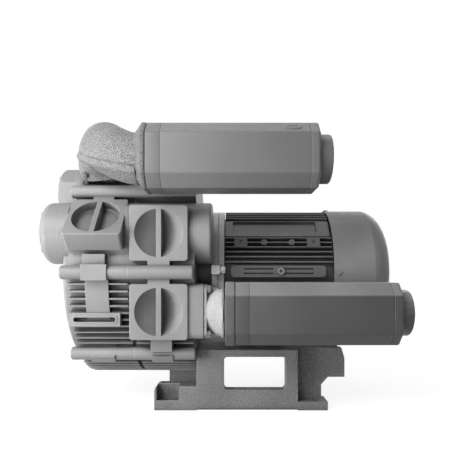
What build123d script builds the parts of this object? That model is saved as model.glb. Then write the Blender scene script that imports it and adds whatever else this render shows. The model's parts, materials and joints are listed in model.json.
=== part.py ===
from build123d import *
from math import cos, sin, radians, degrees, asin, sqrt
import os

os.makedirs("parts", exist_ok=True)

# Two stage side channel blower. Millimetres, +Z up.
# X runs along the shaft from the blower (low X) to the motor (high X).
# The viewer of the photograph stands at low Y.
# The origin is on the floor, in the middle of the four base holes.

# Heights and stations along the shaft
AXIS_H = 355.0
SPLIT_X = -270.5
STAGE_LEN = 153.5
NECK_LEN = 39.5
NECK_R = 140.0
SHIELD_LEN = 31.5
FRAME_LEN = 287.0
LEFT_X = SPLIT_X - STAGE_LEN
RIGHT_X = SPLIT_X + STAGE_LEN
FLANGE_X = RIGHT_X + NECK_LEN
FRAME_X = FLANGE_X + SHIELD_LEN
COWL_X = FRAME_X + FRAME_LEN

# Stage casings
DRUM_R = 262.0
CHAMBER_R = 250.0
FIN_TIP_R = 281.0
FIN_THICK = 4.0
FIN_STEP = 3.75
FINS_PER_SECTOR = 10
SECTOR = 45.0
WEB_THICK = 14.0
FIN_INSET = 5.0
FIN_ROOT_SINK = 4.0

# Axial clamping bars round the drum
BAR_CENTRE_R = 290.0
LOW_BAR_CENTRE_R = 272.0
BAR_R = 16.5
BAR_PROUD = 8.0
BAR_WEB = 16.0
TIE_SCREW_R = 6.0
TIE_HEAD_R = 9.0
TIE_HEAD_LEN = 12.0
TIE_BORE_R = 6.3
TIE_HEAD_BORE_R = 9.6
TIE_THREAD = 70.0

# Port boxes: each casing has a pair, one on each side of a bar
PORT_FACE = 287.0
PORT_WIDTH = 139.0
PORT_HEIGHT = 134.0
PORT_GAP = 27.0
PORT_CORNER = 8.0
PORT_DEPTH = 95.0
LOWER_PORT_DEPTH = 50.0
PORT_SHIFT = -6.5
LOWER_PORT_SHIFT = -7.0
DISH_WALL = 8.0
DISH_R = 58.0
BOWL_DEPTH = 36.0
FLAT_DISH_DEPTH = 24.0
DISH_RIB = 12.0
PORT_BORE_R = 48.0
TAB_WIDTH = 52.0
BOSS_WIDTH = 60.0
BOSS_HEIGHT = 37.0
LOW_BOSS_HEIGHT = 22.0
BOSS_SHIFT = -2.0
TAB_SHIFT = -9.0
BOSS_FACE = 309.0

# Ducts that carry the air between the stages
DUCT_R = 77.5
DUCT_WALL = 8.5
DUCT_RAD = 223.0
DUCT_ANGLE = 26.3
CAP_LEN = 47.5
END_CAP_LEN = 42.5
CAP_OVERHANG = 22.0
CAP_ROUND = 20.0
END_CAP_ROUND = 8.0
CAP_FLAT_R = 72.0
WINDOW_WIDE = 50.0
WINDOW_TALL = 70.0
CAP_SCREW_R = 5.0
CAP_SCREW_RAD = 58.0
CAP_WALL = 10.0
CAP_BORE_R = 46.0
DUCT_FLANGE = 12.0
CAP_SCREW_HEAD_R = 8.0
CAP_SCREW_HEAD = 6.0

# Slotted plate low on the front of the left casing
SLOT_PLATE_LEN = 123.0
SLOT_PLATE_H = 32.0
SLOT_PLATE_Z = -114.0
SLOT_PLATE_FACE = 268.0
SLOT_LEN = 102.0
SLOT_H = 11.0
SLOT_DEPTH = 16.0

# Rotor of the blower
IMPELLER_R = 240.0
IMPELLER_LEN = 62.0
CUP_LEN = 45.0
CUP_RAD = 200.0
CUP_R = 34.0
HUB_R = 50.0
VANES = 36
VANE_THICK = 3.0
DISC_THICK = 10.0
CHANNEL_LEN = 60.0
CHANNEL_PLATE = 12.0
STRIPPER_ANGLE = 30.0
RUN_GAP = 2.0
IMPELLER_BACK_GAP = 15.5
SEAL_GAP = 0.3
SEAT_GAP = 0.05
SPACER_R = 38.0
SEAL_BORE_R = 46.0
COVER_THICK = 16.0
COVER_LIP_R = 255.0
KEY_W = 14.0
KEY_H = 9.0
KEY_LEN = 50.0

# Shaft and bearings
SHAFT_R = 25.0
BEARING_SEAT_R = 27.5
CORE_SEAT_R = 35.0
FAN_SEAT_R = 22.0
BEARING_OUT_R = 60.0
BEARING_W = 29.0
RACE_WALL = 9.5
BALLS = 8
BALL_GAP = 0.3
CAGE_THICK = 4.0
DE_BEARING_X = FLANGE_X + 15.5
NDE_BEARING_X = COWL_X - 13.0
SHAFT_NUT_LEN = 16.0
SHAFT_NUT_FLAT = 46.0
WASHER_LEN = 8.0
SHAFT_END = 10.0

# Motor
MOTOR_R = 177.0
FRAME_ROOT_R = 157.0
FRAME_BORE_R = 140.0
MOTOR_FINS = 80
MOTOR_FIN_THICK = 3.2
SPIGOT_R = 125.0
SPIGOT_LEN = 4.0
CORE_LEN = 200.0
CORE_X = FRAME_X + 46.0
STATOR_IN_R = 85.4
ROTOR_R = 84.6
WINDING_OUT_R = 132.0
WINDING_IN_R = 93.0
WINDING_LEN = 28.0
NDE_DISC = 21.0
SHIELD_HUB_R = 78.0
FLANGE_BOLT_RAD = 150.0
FLANGE_BOLT_R = 8.0
FLANGE_BOSS_R = 15.0
FLANGE_NUT_FLAT = 24.0
FLANGE_NUT_LEN = 13.0
LUG_W = 23.0
LUG_REACH = 30.0
LUG_LEN = 21.0
LUG_RISE = 7.0

# Fan and cowl
COWL_R = 180.0
COWL_WALL = 2.5
COWL_LEN = 107.0
COWL_ROUND = 52.0
COWL_ARC = 70.0
FAN_R = 150.0
FAN_LEN = 52.0
FAN_BLADES = 8
FAN_HUB_R = 32.0
FAN_BLADE_THICK = 4.0
GRILLE_RINGS = 7
GRILLE_STEP = 14.0
GRILLE_SLOT = 8.0
GRILLE_START = 28.0
GRILLE_SPOKES = 6
SPOKE_ANGLE = 12.0

# Terminal box on the far side of the motor
TBOX_LEN = 150.0
TBOX_H = 130.0
TBOX_REACH = 58.0
TBOX_WALL = 5.0
TBOX_X = FRAME_X + 70.0
LID_THICK = 12.0
GASKET = 2.0
GLAND_R = 16.0
GLAND_LEN = 34.0

# Front panel of the motor frame, on a pad above the shaft
PANEL_ANGLE = 43.0
PANEL_LEN = 281.0
PANEL_H = 61.0
PANEL_UP = 6.5
PANEL_X = FRAME_X + 3.0
PANEL_FACE = 168.0
PANEL_RECESS = 6.0
RECESS_LEN = 227.0
RECESS_H = 44.0
RECESS_X = 90.8
RECESS_UP = 13.0
PAD_ANGLE = 27.0
PAD_X = (-2.0, 190.0)
BOSS_X = (60.4, 132.9)
PAD_BOSS_R = 8.0

# Silencers: eight sided section
SIL_MAIN = 88.6
SIL_CHAMFER = 29.0
SIL_WIDE = 81.8
SIL_WALL = 3.0
SIL_CAP = 26.0
SIL_COLLAR = 32.5
SIL_BODY = 330.0
SIL_END = 22.0
SIL_TAPER = 13.0
SIL_TAPER_INSET = 14.0
SIL_END_CHAMFER = 13.0
NOZZLE_R = 56.0
NOZZLE_BORE_R = 50.0
NOZZLE_LEN = 31.0
LINER_R = 51.5
LINER_WALL = 2.0
LINER_HOLE_R = 6.0
LINER_HOLE_STEP = 24.0
SEAM = 1.0
UPPER_SIL = (-242.0, -316.6, AXIS_H + 260.9)
LOWER_SIL = (-44.0, -266.5, AXIS_H - 97.0)

# Elbows
ELBOW_R = 55.0
ELBOW_BORE_R = 48.0
ELBOW_FLANGE = 20.0
ELBOW_STUD_R = 5.0
ELBOW_STUD_SPREAD = 54.0
NUT_FLAT = 17.0
NUT_LEN = 10.0
ELBOW_RADII = (60.0, 59.0, 58.0, 57.0, 56.0, 55.0, 55.0)
ELBOW_RISE = 60.0
ELBOW_RUN = 75.0
ELBOW_HUMP = 90.0
ELBOW_LEAN = 10.0
DIS_CENTRE = (-215.0, AXIS_H - 94.0)
DIS_BOSS = 132.0
DIS_BOSS_LEN = 23.0
DIS_CORNER = 14.0
DIS_EARS = 112.0
DIS_FLANGE = 6.0
DIS_START_R = 60.0
DIS_END_R = 56.0
DIS_STUD_SPREAD = 54.0
DIS_STUD_INNER = 30.0

# Base casting
BASE_HALF_Y = 190.0
BASE_WALL = 34.0
BASE_TOP = 155.6
BASE_DECK = 18.0
COLUMN_X = RIGHT_X
COLUMN_W = 71.0
WINDOW_LEN = 159.5
WINDOW_BOTTOM = 52.6
FAR_WINDOW_X = (-51.0, 158.0)
FAR_END_X = 189.0
SLAB_Y = 128.0
RIGHT_COLUMN_W = 31.0
HOLE_SPACING_X = 385.0
HOLE_SPACING_Y = 336.0
HOLE_R = 9.0
PLATE_THICK = 22.0
ARM_LEFT_X = -226.0
ARM_TOP = 62.0
FOOT_RIGHT_X = 221.5
WING_RIGHT_X = 273.5
WING_BACK = 40.0
WING_THICK = 22.0
FOOT_DEPTH = 62.0
END_WALL = 22.0
BASE_BOLT_R = 8.0
BASE_BOLT_PLACES = ((110.0, 118.0), (48.0, 122.0))
MOTOR_FOOT_X = (FRAME_X + 66.0, FRAME_X + 138.0)
MOTOR_FOOT_LEN = 50.0
MOTOR_FOOT_Y = 86.0
MOTOR_FOOT_W = 44.0


def on_axis(x, y=0.0, z=0.0):
    """A place given from the shaft axis."""
    return (x, y, AXIS_H + z)


def polar(radius, angle):
    """Y and Z from the axis; the angle starts at the viewer's side and turns up."""
    return -radius * cos(radians(angle)), radius * sin(radians(angle))


def section(x):
    """The plane across the shaft at x, with local x along Y and local y along Z."""
    return Plane(origin=on_axis(x), x_dir=(0, 1, 0), z_dir=(1, 0, 0))


def disc(x, length, radius, bore=0.0):
    """A disc or ring round the shaft that starts at x."""
    shape = section(x) * Circle(radius)
    if bore > 0:
        shape -= section(x) * Circle(bore)
    return extrude(shape, length)


def round_bar(x, length, y, z, radius):
    """A bar along X whose centre is at y and z from the axis."""
    spot = Plane(origin=on_axis(x, y, z), x_dir=(0, 1, 0), z_dir=(1, 0, 0))
    return extrude(spot * Circle(radius), length)


def box_between(x0, x1, y0, y1, z0, z1):
    """A box between two corners, heights from the floor."""
    spot = Pos((x0 + x1) / 2, (y0 + y1) / 2, (z0 + z1) / 2)
    return spot * Box(abs(x1 - x0), abs(y1 - y0), abs(z1 - z0))


def facing(x, face, along, angle):
    """A plane that faces away from the shaft: face is its distance, along its shift downwards."""
    c, s = cos(radians(angle)), sin(radians(angle))
    spot = on_axis(x, -face * c - along * s, face * s - along * c)
    return Plane(origin=spot, x_dir=(1, 0, 0), z_dir=(0, -c, s))


def hex_bar(plane, flat, length, bore=0.0):
    """A hexagon bar that rises from a plane."""
    shape = plane * RegularPolygon(flat / 2, 6, major_radius=False)
    if bore > 0:
        shape -= plane * Circle(bore)
    return extrude(shape, length)


def write(name, shape):
    """One STEP file for each named piece."""
    if isinstance(shape, (list, tuple)):
        shape = Compound(children=list(shape))
    shape.label = name
    export_step(shape, "parts/" + name + ".step")


# Stage casings

STAGE_MID = {"left": LEFT_X + STAGE_LEN / 2, "right": SPLIT_X + STAGE_LEN / 2}
PORT_ANGLE = {"left": 45.0, "right": 0.0}
PORT_MID = PORT_GAP + PORT_HEIGHT / 2
BAR_ANGLES = [SECTOR * i for i in range(8)]
BARE_ARC = {"left": (4.0, 94.0), "right": (-34.0, 48.0)}
DUCT_ANGLES = {"left": (DUCT_ANGLE, DUCT_ANGLE + SECTOR), "right": (DUCT_ANGLE,)}


def bare(side, angle):
    """True where a port box or a duct takes the place of the fins."""
    low, high = BARE_ARC[side]
    turned = (angle - low) % 360.0
    return turned < high - low


def fin_angles(side):
    first = FIN_STEP * 1.5
    angles = [SECTOR * k + first + FIN_STEP * i for k in range(8) for i in range(FINS_PER_SECTOR)]
    return [a for a in angles if not bare(side, a)]


def drum_outline(side):
    """The finned ring, as one flat outline."""
    fins = []
    for angle in fin_angles(side):
        y, z = polar((DRUM_R + FIN_TIP_R - FIN_ROOT_SINK) / 2, angle)
        fins.append(Pos(y, z) * Rot(0, 0, -angle) * Rectangle(FIN_TIP_R - DRUM_R + FIN_ROOT_SINK, FIN_THICK))
    return Circle(DRUM_R) + fins


def bar_centre(angle):
    """Y and Z of a bar; the lowest one sits deeper in the fins."""
    return polar(LOW_BAR_CENTRE_R if angle == 270.0 else BAR_CENTRE_R, angle)


def bars(side, x0, length):
    """Bars, each with the web that joins it to the drum."""
    made = []
    for angle in BAR_ANGLES:
        y, z = bar_centre(angle)
        bar = round_bar(x0, length, y, z, BAR_R)
        outer = bar.edges().filter_by(GeomType.CIRCLE).sort_by(Axis.X)
        bar = fillet(outer[0] if side == "left" else outer[-1], 4.0)
        made.append(bar)
        reach = sqrt(y ** 2 + z ** 2)
        spot = facing(x0 + length / 2, reach, 0, angle)
        run = length - (2 * BAR_PROUD if side == "left" else 0)
        made.append(extrude(spot * Rectangle(run, BAR_WEB), -(reach - CHAMBER_R - 4.0)))
    return made


def port_plane(side, along):
    """Face of one port box; along is negative for the upper one of a pair."""
    shift = PORT_SHIFT if side == "right" else 0.0
    if side == "left" and along > 0:
        shift = LOWER_PORT_SHIFT
    return facing(STAGE_MID[side] + shift, PORT_FACE, along, PORT_ANGLE[side])


def port_box(side, along):
    spot = port_plane(side, along)
    depth = LOWER_PORT_DEPTH if side == "left" and along > 0 else PORT_DEPTH
    block = extrude(spot * RectangleRounded(PORT_WIDTH, PORT_HEIGHT, PORT_CORNER), -depth)
    rim = block.faces().sort_by(Axis(spot.origin, spot.z_dir))[-1].edges()
    return chamfer(rim, 1.2)


def dish(side, along, flat):
    """The hollow of a closed port, with its rib left standing."""
    spot = port_plane(side, along)
    if flat:
        hollow = extrude(spot * Circle(DISH_R), -FLAT_DISH_DEPTH)
        floor_edge = hollow.edges().sort_by(Axis(spot.origin, spot.z_dir))[0]
        hollow = fillet(floor_edge, 6.0)
        depth = FLAT_DISH_DEPTH
    else:
        ball_r = (DISH_R ** 2 + BOWL_DEPTH ** 2) / (2 * BOWL_DEPTH)
        ball = Pos(spot.origin + spot.z_dir * (ball_r - BOWL_DEPTH)) * Sphere(ball_r)
        hollow = ball & extrude(spot * Circle(DISH_R + 1.0), -BOWL_DEPTH - 1.0)
        depth = BOWL_DEPTH
    rib = extrude(spot * Rectangle(DISH_RIB, 2 * DISH_R + 2.0), -depth - 1.0)
    return hollow - rib


def dish_backing(side):
    """The floor that stays between a closed port and the duct behind it."""
    along, depth = (PORT_MID, FLAT_DISH_DEPTH) if side == "left" else (-PORT_MID, BOWL_DEPTH)
    return extrude(port_plane(side, along) * Circle(DISH_R + DISH_WALL), -depth - DISH_WALL)


def duct_body(side, x0, length):
    """Round walls of the ducts outside the drum."""
    made = []
    for angle in DUCT_ANGLES[side]:
        y, z = polar(DUCT_RAD, angle)
        made.append(round_bar(x0, length, y, z, DUCT_R))
    return made


def duct_hollow(side, x0, length):
    """Passages of the ducts: outside the drum wall, and narrower in the flanges at their ends."""
    made = []
    for angle in DUCT_ANGLES[side]:
        y, z = polar(DUCT_RAD, angle)
        if side == "left":
            made.append(round_bar(x0 - 1.0, length + 1.0, y, z, CAP_BORE_R) - disc(LEFT_X, length, DRUM_R))
            room_x, room = x0 + DUCT_FLANGE, length - DUCT_FLANGE
        else:
            made.append(round_bar(x0 - 1.0, length + 2.0, y, z, CAP_BORE_R) - disc(x0 - 1.0, length + 2.0, DRUM_R))
            room_x, room = x0 - 1.0, length + 1.0 - DUCT_FLANGE
        if side == "left" and angle > SECTOR:
            room -= DUCT_FLANGE
        wide = round_bar(room_x, room + 0.01, y, z, DUCT_R - DUCT_WALL)
        made.append(wide - disc(max(room_x - 1.0, LEFT_X), room + 2.0, DRUM_R))
    return made


def transfer_windows(side):
    """Openings through the drum wall between the ducts and the side channel."""
    mid = STAGE_MID[side]
    made = []
    for angle in DUCT_ANGLES[side]:
        spot = facing(mid, DRUM_R + 4.0, 0, angle)
        made.append(extrude(spot * RectangleRounded(WINDOW_WIDE, WINDOW_TALL, 8.0), -30.0))
    return made


def housing(side):
    """One stage casing: finned drum, bars, port boxes, ducts and the web at its right end."""
    x0 = LEFT_X if side == "left" else SPLIT_X
    mid = STAGE_MID[side]
    body = extrude(section(x0 + FIN_INSET) * drum_outline(side), STAGE_LEN - 2 * FIN_INSET)
    body += disc(x0, STAGE_LEN, DRUM_R)
    bar_x = x0 - BAR_PROUD if side == "left" else x0
    bar_len = STAGE_LEN + (BAR_PROUD if side == "left" else 0)
    body += bars(side, bar_x, bar_len)
    body += [port_box(side, along) for along in (-PORT_MID, PORT_MID)]
    duct_x = x0 - CAP_OVERHANG if side == "left" else x0
    duct_len = STAGE_LEN + (CAP_OVERHANG if side == "left" else 0)
    body += duct_body(side, duct_x, duct_len)
    # Tabs that join the two port boxes of a pair over the bar
    tab_plane = port_plane(side, 0)
    body += extrude(tab_plane * Rectangle(TAB_WIDTH, 2 * PORT_GAP + 4.0), -30.0)
    # Chamber, ducts and ports
    body -= disc(x0, STAGE_LEN - WEB_THICK, CHAMBER_R)
    backing = dish_backing(side)
    body -= [hollow - backing for hollow in duct_hollow(side, duct_x, duct_len)]
    body -= [window - backing for window in transfer_windows(side)]
    if side == "left":
        # The duct bulges a little past the tilted port's face, so it is milled flat there
        face = port_plane(side, PORT_MID)
        body -= extrude(face * Rectangle(PORT_WIDTH, PORT_HEIGHT), DISH_WALL)
        body -= dish(side, PORT_MID, True)
        suction = port_plane(side, -PORT_MID)
        body -= extrude(suction * Circle(PORT_BORE_R), -70.0)
        body -= disc(x0, STAGE_LEN, SEAL_BORE_R)
        stud_plane = suction
        for x, y in stud_places():
            body -= extrude(stud_plane * Pos(x, y) * Circle(ELBOW_STUD_R + SEAT_GAP), -24.0)
        body += left_details(mid)
    else:
        body -= dish(side, -PORT_MID, False)
        body -= dish(side, PORT_MID, False)
        body += right_details(mid)
        body -= disc(RIGHT_X - WEB_THICK - 1.0, WEB_THICK + 1.0, SEAL_BORE_R)
        y, z = DIS_CENTRE[0], DIS_CENTRE[1] - AXIS_H
        body -= round_bar(RIGHT_X - 28.0, 28.0 + DIS_BOSS_LEN + 1.0, y, z, PORT_BORE_R)
        outlet = Plane(origin=(RIGHT_X + DIS_BOSS_LEN, DIS_CENTRE[0], DIS_CENTRE[1]),
                       x_dir=(0, 1, 0), z_dir=(1, 0, 0))
        for u, v in dis_stud_places():
            body -= extrude(outlet * Pos(u, v) * Circle(ELBOW_STUD_R + SEAT_GAP), -20.0)
        for y, z in base_bolt_places():
            body -= round_bar(RIGHT_X - WEB_THICK, WEB_THICK + 1.0, y, z, BASE_BOLT_R + SEAT_GAP)
        for y, z in flange_bolt_places():
            body -= round_bar(FLANGE_X - 26.0, 27.0, y, z, FLANGE_BOLT_R + SEAT_GAP)
    # Threads for the screws of the duct caps
    for angle in DUCT_ANGLES[side]:
        outward = -1 if side == "left" else 1
        start = duct_x - 1.0 if side == "left" else RIGHT_X - DUCT_FLANGE
        for y, z in cap_screw_places(angle, outward):
            body -= round_bar(start, DUCT_FLANGE + 1.0, y, z, CAP_SCREW_R + SEAT_GAP)
    # Bores for the tie screws
    for angle in BAR_ANGLES:
        y, z = bar_centre(angle)
        if side == "left":
            body -= round_bar(bar_x - 1.0, bar_len + 2.0, y, z, TIE_BORE_R)
            body -= round_bar(bar_x - 1.0, 1.0 + TIE_HEAD_LEN + 2.0, y, z, TIE_HEAD_BORE_R)
        else:
            body -= round_bar(bar_x - 1.0, TIE_THREAD + 4.0, y, z, TIE_BORE_R)
    return body


def left_details(mid):
    """Boss block, strap, slotted plate and small tabs on the left casing."""
    made = []
    mid += BOSS_SHIFT
    sunk = BOSS_FACE - BAR_CENTRE_R + BAR_R + 14.0
    for angle, height in ((0.0, BOSS_HEIGHT), (-SECTOR, LOW_BOSS_HEIGHT)):
        face = facing(mid, BOSS_FACE, 0, angle)
        made.append(extrude(face * Rectangle(BOSS_WIDTH, height), -sunk))
    # Tab from the boss up to the duct
    made.append(box_between(mid + TAB_SHIFT - 27, mid + TAB_SHIFT + 27, -276, -256, AXIS_H + 14, AXIS_H + 44))
    # Strap round the fin tips from the boss to the slotted plate
    strap = disc(mid - 28, 56, FIN_TIP_R + 1.0, DRUM_R - 4.0)
    wedge = box_between(mid - 28, mid + 28, -300, -200, AXIS_H + SLOT_PLATE_Z, AXIS_H - 15)
    made.append(strap & wedge)
    # Slotted plate
    plate = box_between(mid - SLOT_PLATE_LEN / 2 - 8, mid + SLOT_PLATE_LEN / 2 - 8,
                        -SLOT_PLATE_FACE, -SLOT_PLATE_FACE + 32,
                        AXIS_H + SLOT_PLATE_Z - SLOT_PLATE_H / 2, AXIS_H + SLOT_PLATE_Z + SLOT_PLATE_H / 2)
    slot_plane = facing(mid - 8, SLOT_PLATE_FACE, -SLOT_PLATE_Z, 0)
    rim = extrude(slot_plane * SlotOverall(SLOT_LEN + 8, SLOT_H + 8), 1.5)
    slot = extrude(slot_plane * SlotOverall(SLOT_LEN, SLOT_H), SLOT_DEPTH, both=True)
    made.append((plate + rim) - slot)
    return made


def right_details(mid):
    """Neck for the motor, discharge boss and lower tab on the right casing."""
    neck = disc(RIGHT_X, NECK_LEN, NECK_R)
    neck += [round_bar(RIGHT_X, NECK_LEN, y, z, FLANGE_BOSS_R) for y, z in flange_bolt_places()]
    made = [neck - disc(RIGHT_X - 1.0, NECK_LEN + 2.0, SPIGOT_R + SEAT_GAP)]
    outlet = Plane(origin=(RIGHT_X - 30.0, DIS_CENTRE[0], DIS_CENTRE[1]), x_dir=(0, 1, 0), z_dir=(1, 0, 0))
    boss = extrude(outlet * RectangleRounded(DIS_BOSS, DIS_BOSS, DIS_CORNER), 30.0 + DIS_BOSS_LEN)
    made.append(boss - disc(RIGHT_X - 31.0, 31.0 - WEB_THICK, CHAMBER_R))
    mid += PORT_SHIFT
    low = facing(mid, BOSS_FACE, 0, -SECTOR)
    made.append(extrude(low * Rectangle(TAB_WIDTH, LOW_BOSS_HEIGHT), -(BOSS_FACE - BAR_CENTRE_R + BAR_R + 14.0)))
    # Tab from the lower port box down to the bar
    made.append(box_between(mid - TAB_WIDTH / 2, mid + TAB_WIDTH / 2, -240, -206,
                            AXIS_H - 196, AXIS_H - PORT_GAP - PORT_HEIGHT + 6))
    return made


def stud_places():
    s = ELBOW_STUD_SPREAD
    return [(a * s, b * s) for a in (-1, 1) for b in (-1, 1)]


def dis_stud_places():
    outer = [(-DIS_STUD_SPREAD, b * DIS_STUD_SPREAD) for b in (-1, 1)]
    inner = [(DIS_STUD_INNER, b * DIS_STUD_SPREAD) for b in (-1, 1)]
    return outer + inner


def base_bolt_places():
    """Y and Z from the axis of the bolts that hold the casing to the base."""
    return [(side * y, z - AXIS_H) for side in (-1, 1) for y, z in BASE_BOLT_PLACES]


def flange_bolt_places():
    return [polar(FLANGE_BOLT_RAD, SECTOR * (2 * i + 1)) for i in range(4)]


def duct_cap(angle, x_end, outward, length):
    """End cap of a duct; outward is -1 for the left end and 1 for the right end."""
    y, z = polar(DUCT_RAD, angle)
    x0 = x_end if outward > 0 else x_end - length
    cap = round_bar(x0, length, y, z, DUCT_R)
    end = cap.edges().filter_by(GeomType.CIRCLE).sort_by(Axis.X)[-1 if outward > 0 else 0]
    cap = fillet(end, END_CAP_ROUND if outward > 0 else CAP_ROUND)
    if angle > SECTOR:
        spot = Plane(origin=on_axis(x0 - 1.0, y, z), x_dir=(0, 1, 0), z_dir=(1, 0, 0))
        flats = spot * RegularPolygon(CAP_FLAT_R, 8, major_radius=False, rotation=22.5)
        cap = cap & extrude(flats, length + 2.0)
    hollow_x = x0 - 1.0 if outward > 0 else x0 + CAP_WALL
    cap -= round_bar(hollow_x, length - CAP_WALL + 1.0, y, z, CAP_BORE_R)
    for y, z in cap_screw_places(angle, outward):
        face = x0 + length if outward > 0 else x0
        cap -= round_bar(face - CAP_SCREW_HEAD, 2 * CAP_SCREW_HEAD, y, z, CAP_SCREW_HEAD_R + 3.0)
        cap -= round_bar(x0 - 1.0, length + 2.0, y, z, CAP_SCREW_R + SEAT_GAP)
    if outward > 0:
        cap -= disc(x0 - 1.0, length + 2.0, MOTOR_R + 1.5)
    return cap


def cap_screw_places(angle, outward):
    """Y and Z of the screws of one duct cap; the right end has no room for the one by the motor."""
    y, z = polar(DUCT_RAD, angle)
    turns = (45.0, 135.0, 225.0, 315.0) if outward < 0 else (45.0, 135.0, 225.0)
    return [(y + CAP_SCREW_RAD * cos(radians(a)), z + CAP_SCREW_RAD * sin(radians(a))) for a in turns]


def cap_screws(angle, x_end, outward, length):
    """Hex screws with their heads sunk in the cap's end, threaded into the duct flange."""
    made = []
    head_x = x_end + outward * (length - CAP_SCREW_HEAD)
    tip_x = x_end - outward * (DUCT_FLANGE - 2.0)
    for y, z in cap_screw_places(angle, outward):
        spot = Plane(origin=on_axis(head_x, y, z), x_dir=(0, 1, 0), z_dir=(outward, 0, 0))
        shank = round_bar(min(head_x, tip_x), abs(head_x - tip_x), y, z, CAP_SCREW_R)
        made.append(hex_bar(spot, 2 * CAP_SCREW_HEAD_R, CAP_SCREW_HEAD) + shank)
    return made


def tie_screws():
    """Long socket screws in the bars."""
    made = []
    x0 = LEFT_X - BAR_PROUD + 2.0
    for angle in BAR_ANGLES:
        y, z = bar_centre(angle)
        head = round_bar(x0, TIE_HEAD_LEN, y, z, TIE_HEAD_R)
        spot = Plane(origin=on_axis(x0 - 0.5, y, z), x_dir=(0, 1, 0), z_dir=(1, 0, 0))
        head -= hex_bar(spot, 10.0, 7.0)
        shank = round_bar(x0 + TIE_HEAD_LEN, SPLIT_X + TIE_THREAD - x0 - TIE_HEAD_LEN, y, z, TIE_SCREW_R)
        made.append(head + shank)
    return made


# Blower internals

IMPELLER_1_X = SPLIT_X - WEB_THICK - IMPELLER_BACK_GAP - IMPELLER_LEN
IMPELLER_2_X = RIGHT_X - WEB_THICK - IMPELLER_BACK_GAP - IMPELLER_LEN
CHANNEL_2_X = IMPELLER_2_X - RUN_GAP - CHANNEL_LEN


def groove(x, angle):
    """A round groove about the shaft, open over the given arc."""
    ring = Plane(origin=on_axis(x), x_dir=(1, 0, 0), z_dir=(0, -1, 0))
    circle = ring * Pos(0, CUP_RAD) * Circle(CUP_R)
    return revolve(circle, Axis(on_axis(x), (1, 0, 0)), angle)


def channel_ring(x):
    """Ring with the side channel in its right face, and the stripper that closes part of it."""
    ring = disc(x, CHANNEL_LEN, CHAMBER_R - SEAT_GAP, SPACER_R + 20.0)
    ring -= disc(x - 1.0, CHANNEL_LEN - CHANNEL_PLATE + 1.0, CUP_RAD - CUP_R - CHANNEL_PLATE, SPACER_R + 32.0)
    return ring - groove(x + CHANNEL_LEN, 360.0 - STRIPPER_ANGLE)


def end_cover():
    """Left end cover, with the first side channel and a plain boss over the shaft end."""
    lip = LEFT_X - COVER_THICK
    cover = disc(lip, COVER_THICK, COVER_LIP_R)
    cover = chamfer(cover.edges().filter_by(GeomType.CIRCLE).sort_by(Axis.X)[0], 6.0)
    for k in range(12):
        y, z = polar(150.0, 30.0 * k)
        rib = Pos(*on_axis(lip - 4.0, y, z)) * Rot(-30.0 * k, 0, 0) * Box(10.0, 150.0, 7.0)
        cover += rib
    cover += disc(lip - 14.0, 14.0, 78.0)
    for angle in DUCT_ANGLES["left"]:
        y, z = polar(DUCT_RAD, angle)
        cover -= round_bar(LEFT_X - CAP_OVERHANG - CAP_LEN, CAP_OVERHANG + CAP_LEN, y, z, DUCT_R + 0.5)
    return cover + channel_ring(LEFT_X)


def impeller(x):
    """Impeller with a cup ring of vanes open to the left, a thin disc and a hub."""
    ring = disc(x, CUP_LEN, IMPELLER_R, CUP_RAD - CUP_R - 6.0)
    plate = disc(x + CUP_LEN - DISC_THICK, DISC_THICK, CUP_RAD, SHAFT_R + SEAT_GAP)
    hub = disc(x, IMPELLER_LEN, HUB_R, SHAFT_R + SEAT_GAP)
    wheel = ring + plate + hub
    open_angle = 360.0 / VANES - degrees(VANE_THICK / CUP_RAD)
    pocket = groove(x, open_angle)
    pockets = [pocket.rotate(Axis(on_axis(x), (1, 0, 0)), 360.0 / VANES * k) for k in range(VANES)]
    wheel -= pockets
    slot = box_between(x - 1, x + IMPELLER_LEN + 1, -KEY_W / 2, KEY_W / 2, AXIS_H, AXIS_H + SHAFT_R + 3.8)
    return wheel - slot


def shaft():
    left = IMPELLER_1_X - WASHER_LEN - SHAFT_NUT_LEN - SHAFT_END
    de = DE_BEARING_X
    nde = NDE_BEARING_X
    shape = disc(left, de - left, SHAFT_R)
    shape += disc(de, BEARING_W, BEARING_SEAT_R)
    shape += disc(de + BEARING_W, nde - de - BEARING_W, CORE_SEAT_R)
    shape += disc(nde, BEARING_W, BEARING_SEAT_R)
    shape += disc(nde + BEARING_W, FAN_X + FAN_LEN + 6.0 - nde - BEARING_W, FAN_SEAT_R)
    for x in (IMPELLER_1_X, IMPELLER_2_X):
        shape -= box_between(x + 6 - SEAT_GAP, x + 6 + KEY_LEN + SEAT_GAP, -KEY_W / 2, KEY_W / 2,
                             AXIS_H + SHAFT_R - KEY_H + 3.5, AXIS_H + SHAFT_R + 5)
    ends = shape.edges().filter_by(GeomType.CIRCLE).sort_by(Axis.X)
    return chamfer([ends[0], ends[-1]], 2.0)


def keys():
    made = []
    for x in (IMPELLER_1_X, IMPELLER_2_X):
        made.append(box_between(x + 6, x + 6 + KEY_LEN, -KEY_W / 2 + SEAT_GAP, KEY_W / 2 - SEAT_GAP,
                                AXIS_H + SHAFT_R - KEY_H + 3.5, AXIS_H + SHAFT_R + 3.5))
    return made


def shaft_nut():
    x = IMPELLER_1_X - WASHER_LEN - SHAFT_NUT_LEN
    nut = hex_bar(section(x), SHAFT_NUT_FLAT + 20.0, SHAFT_NUT_LEN, SHAFT_R + SEAT_GAP)
    return nut


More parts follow.
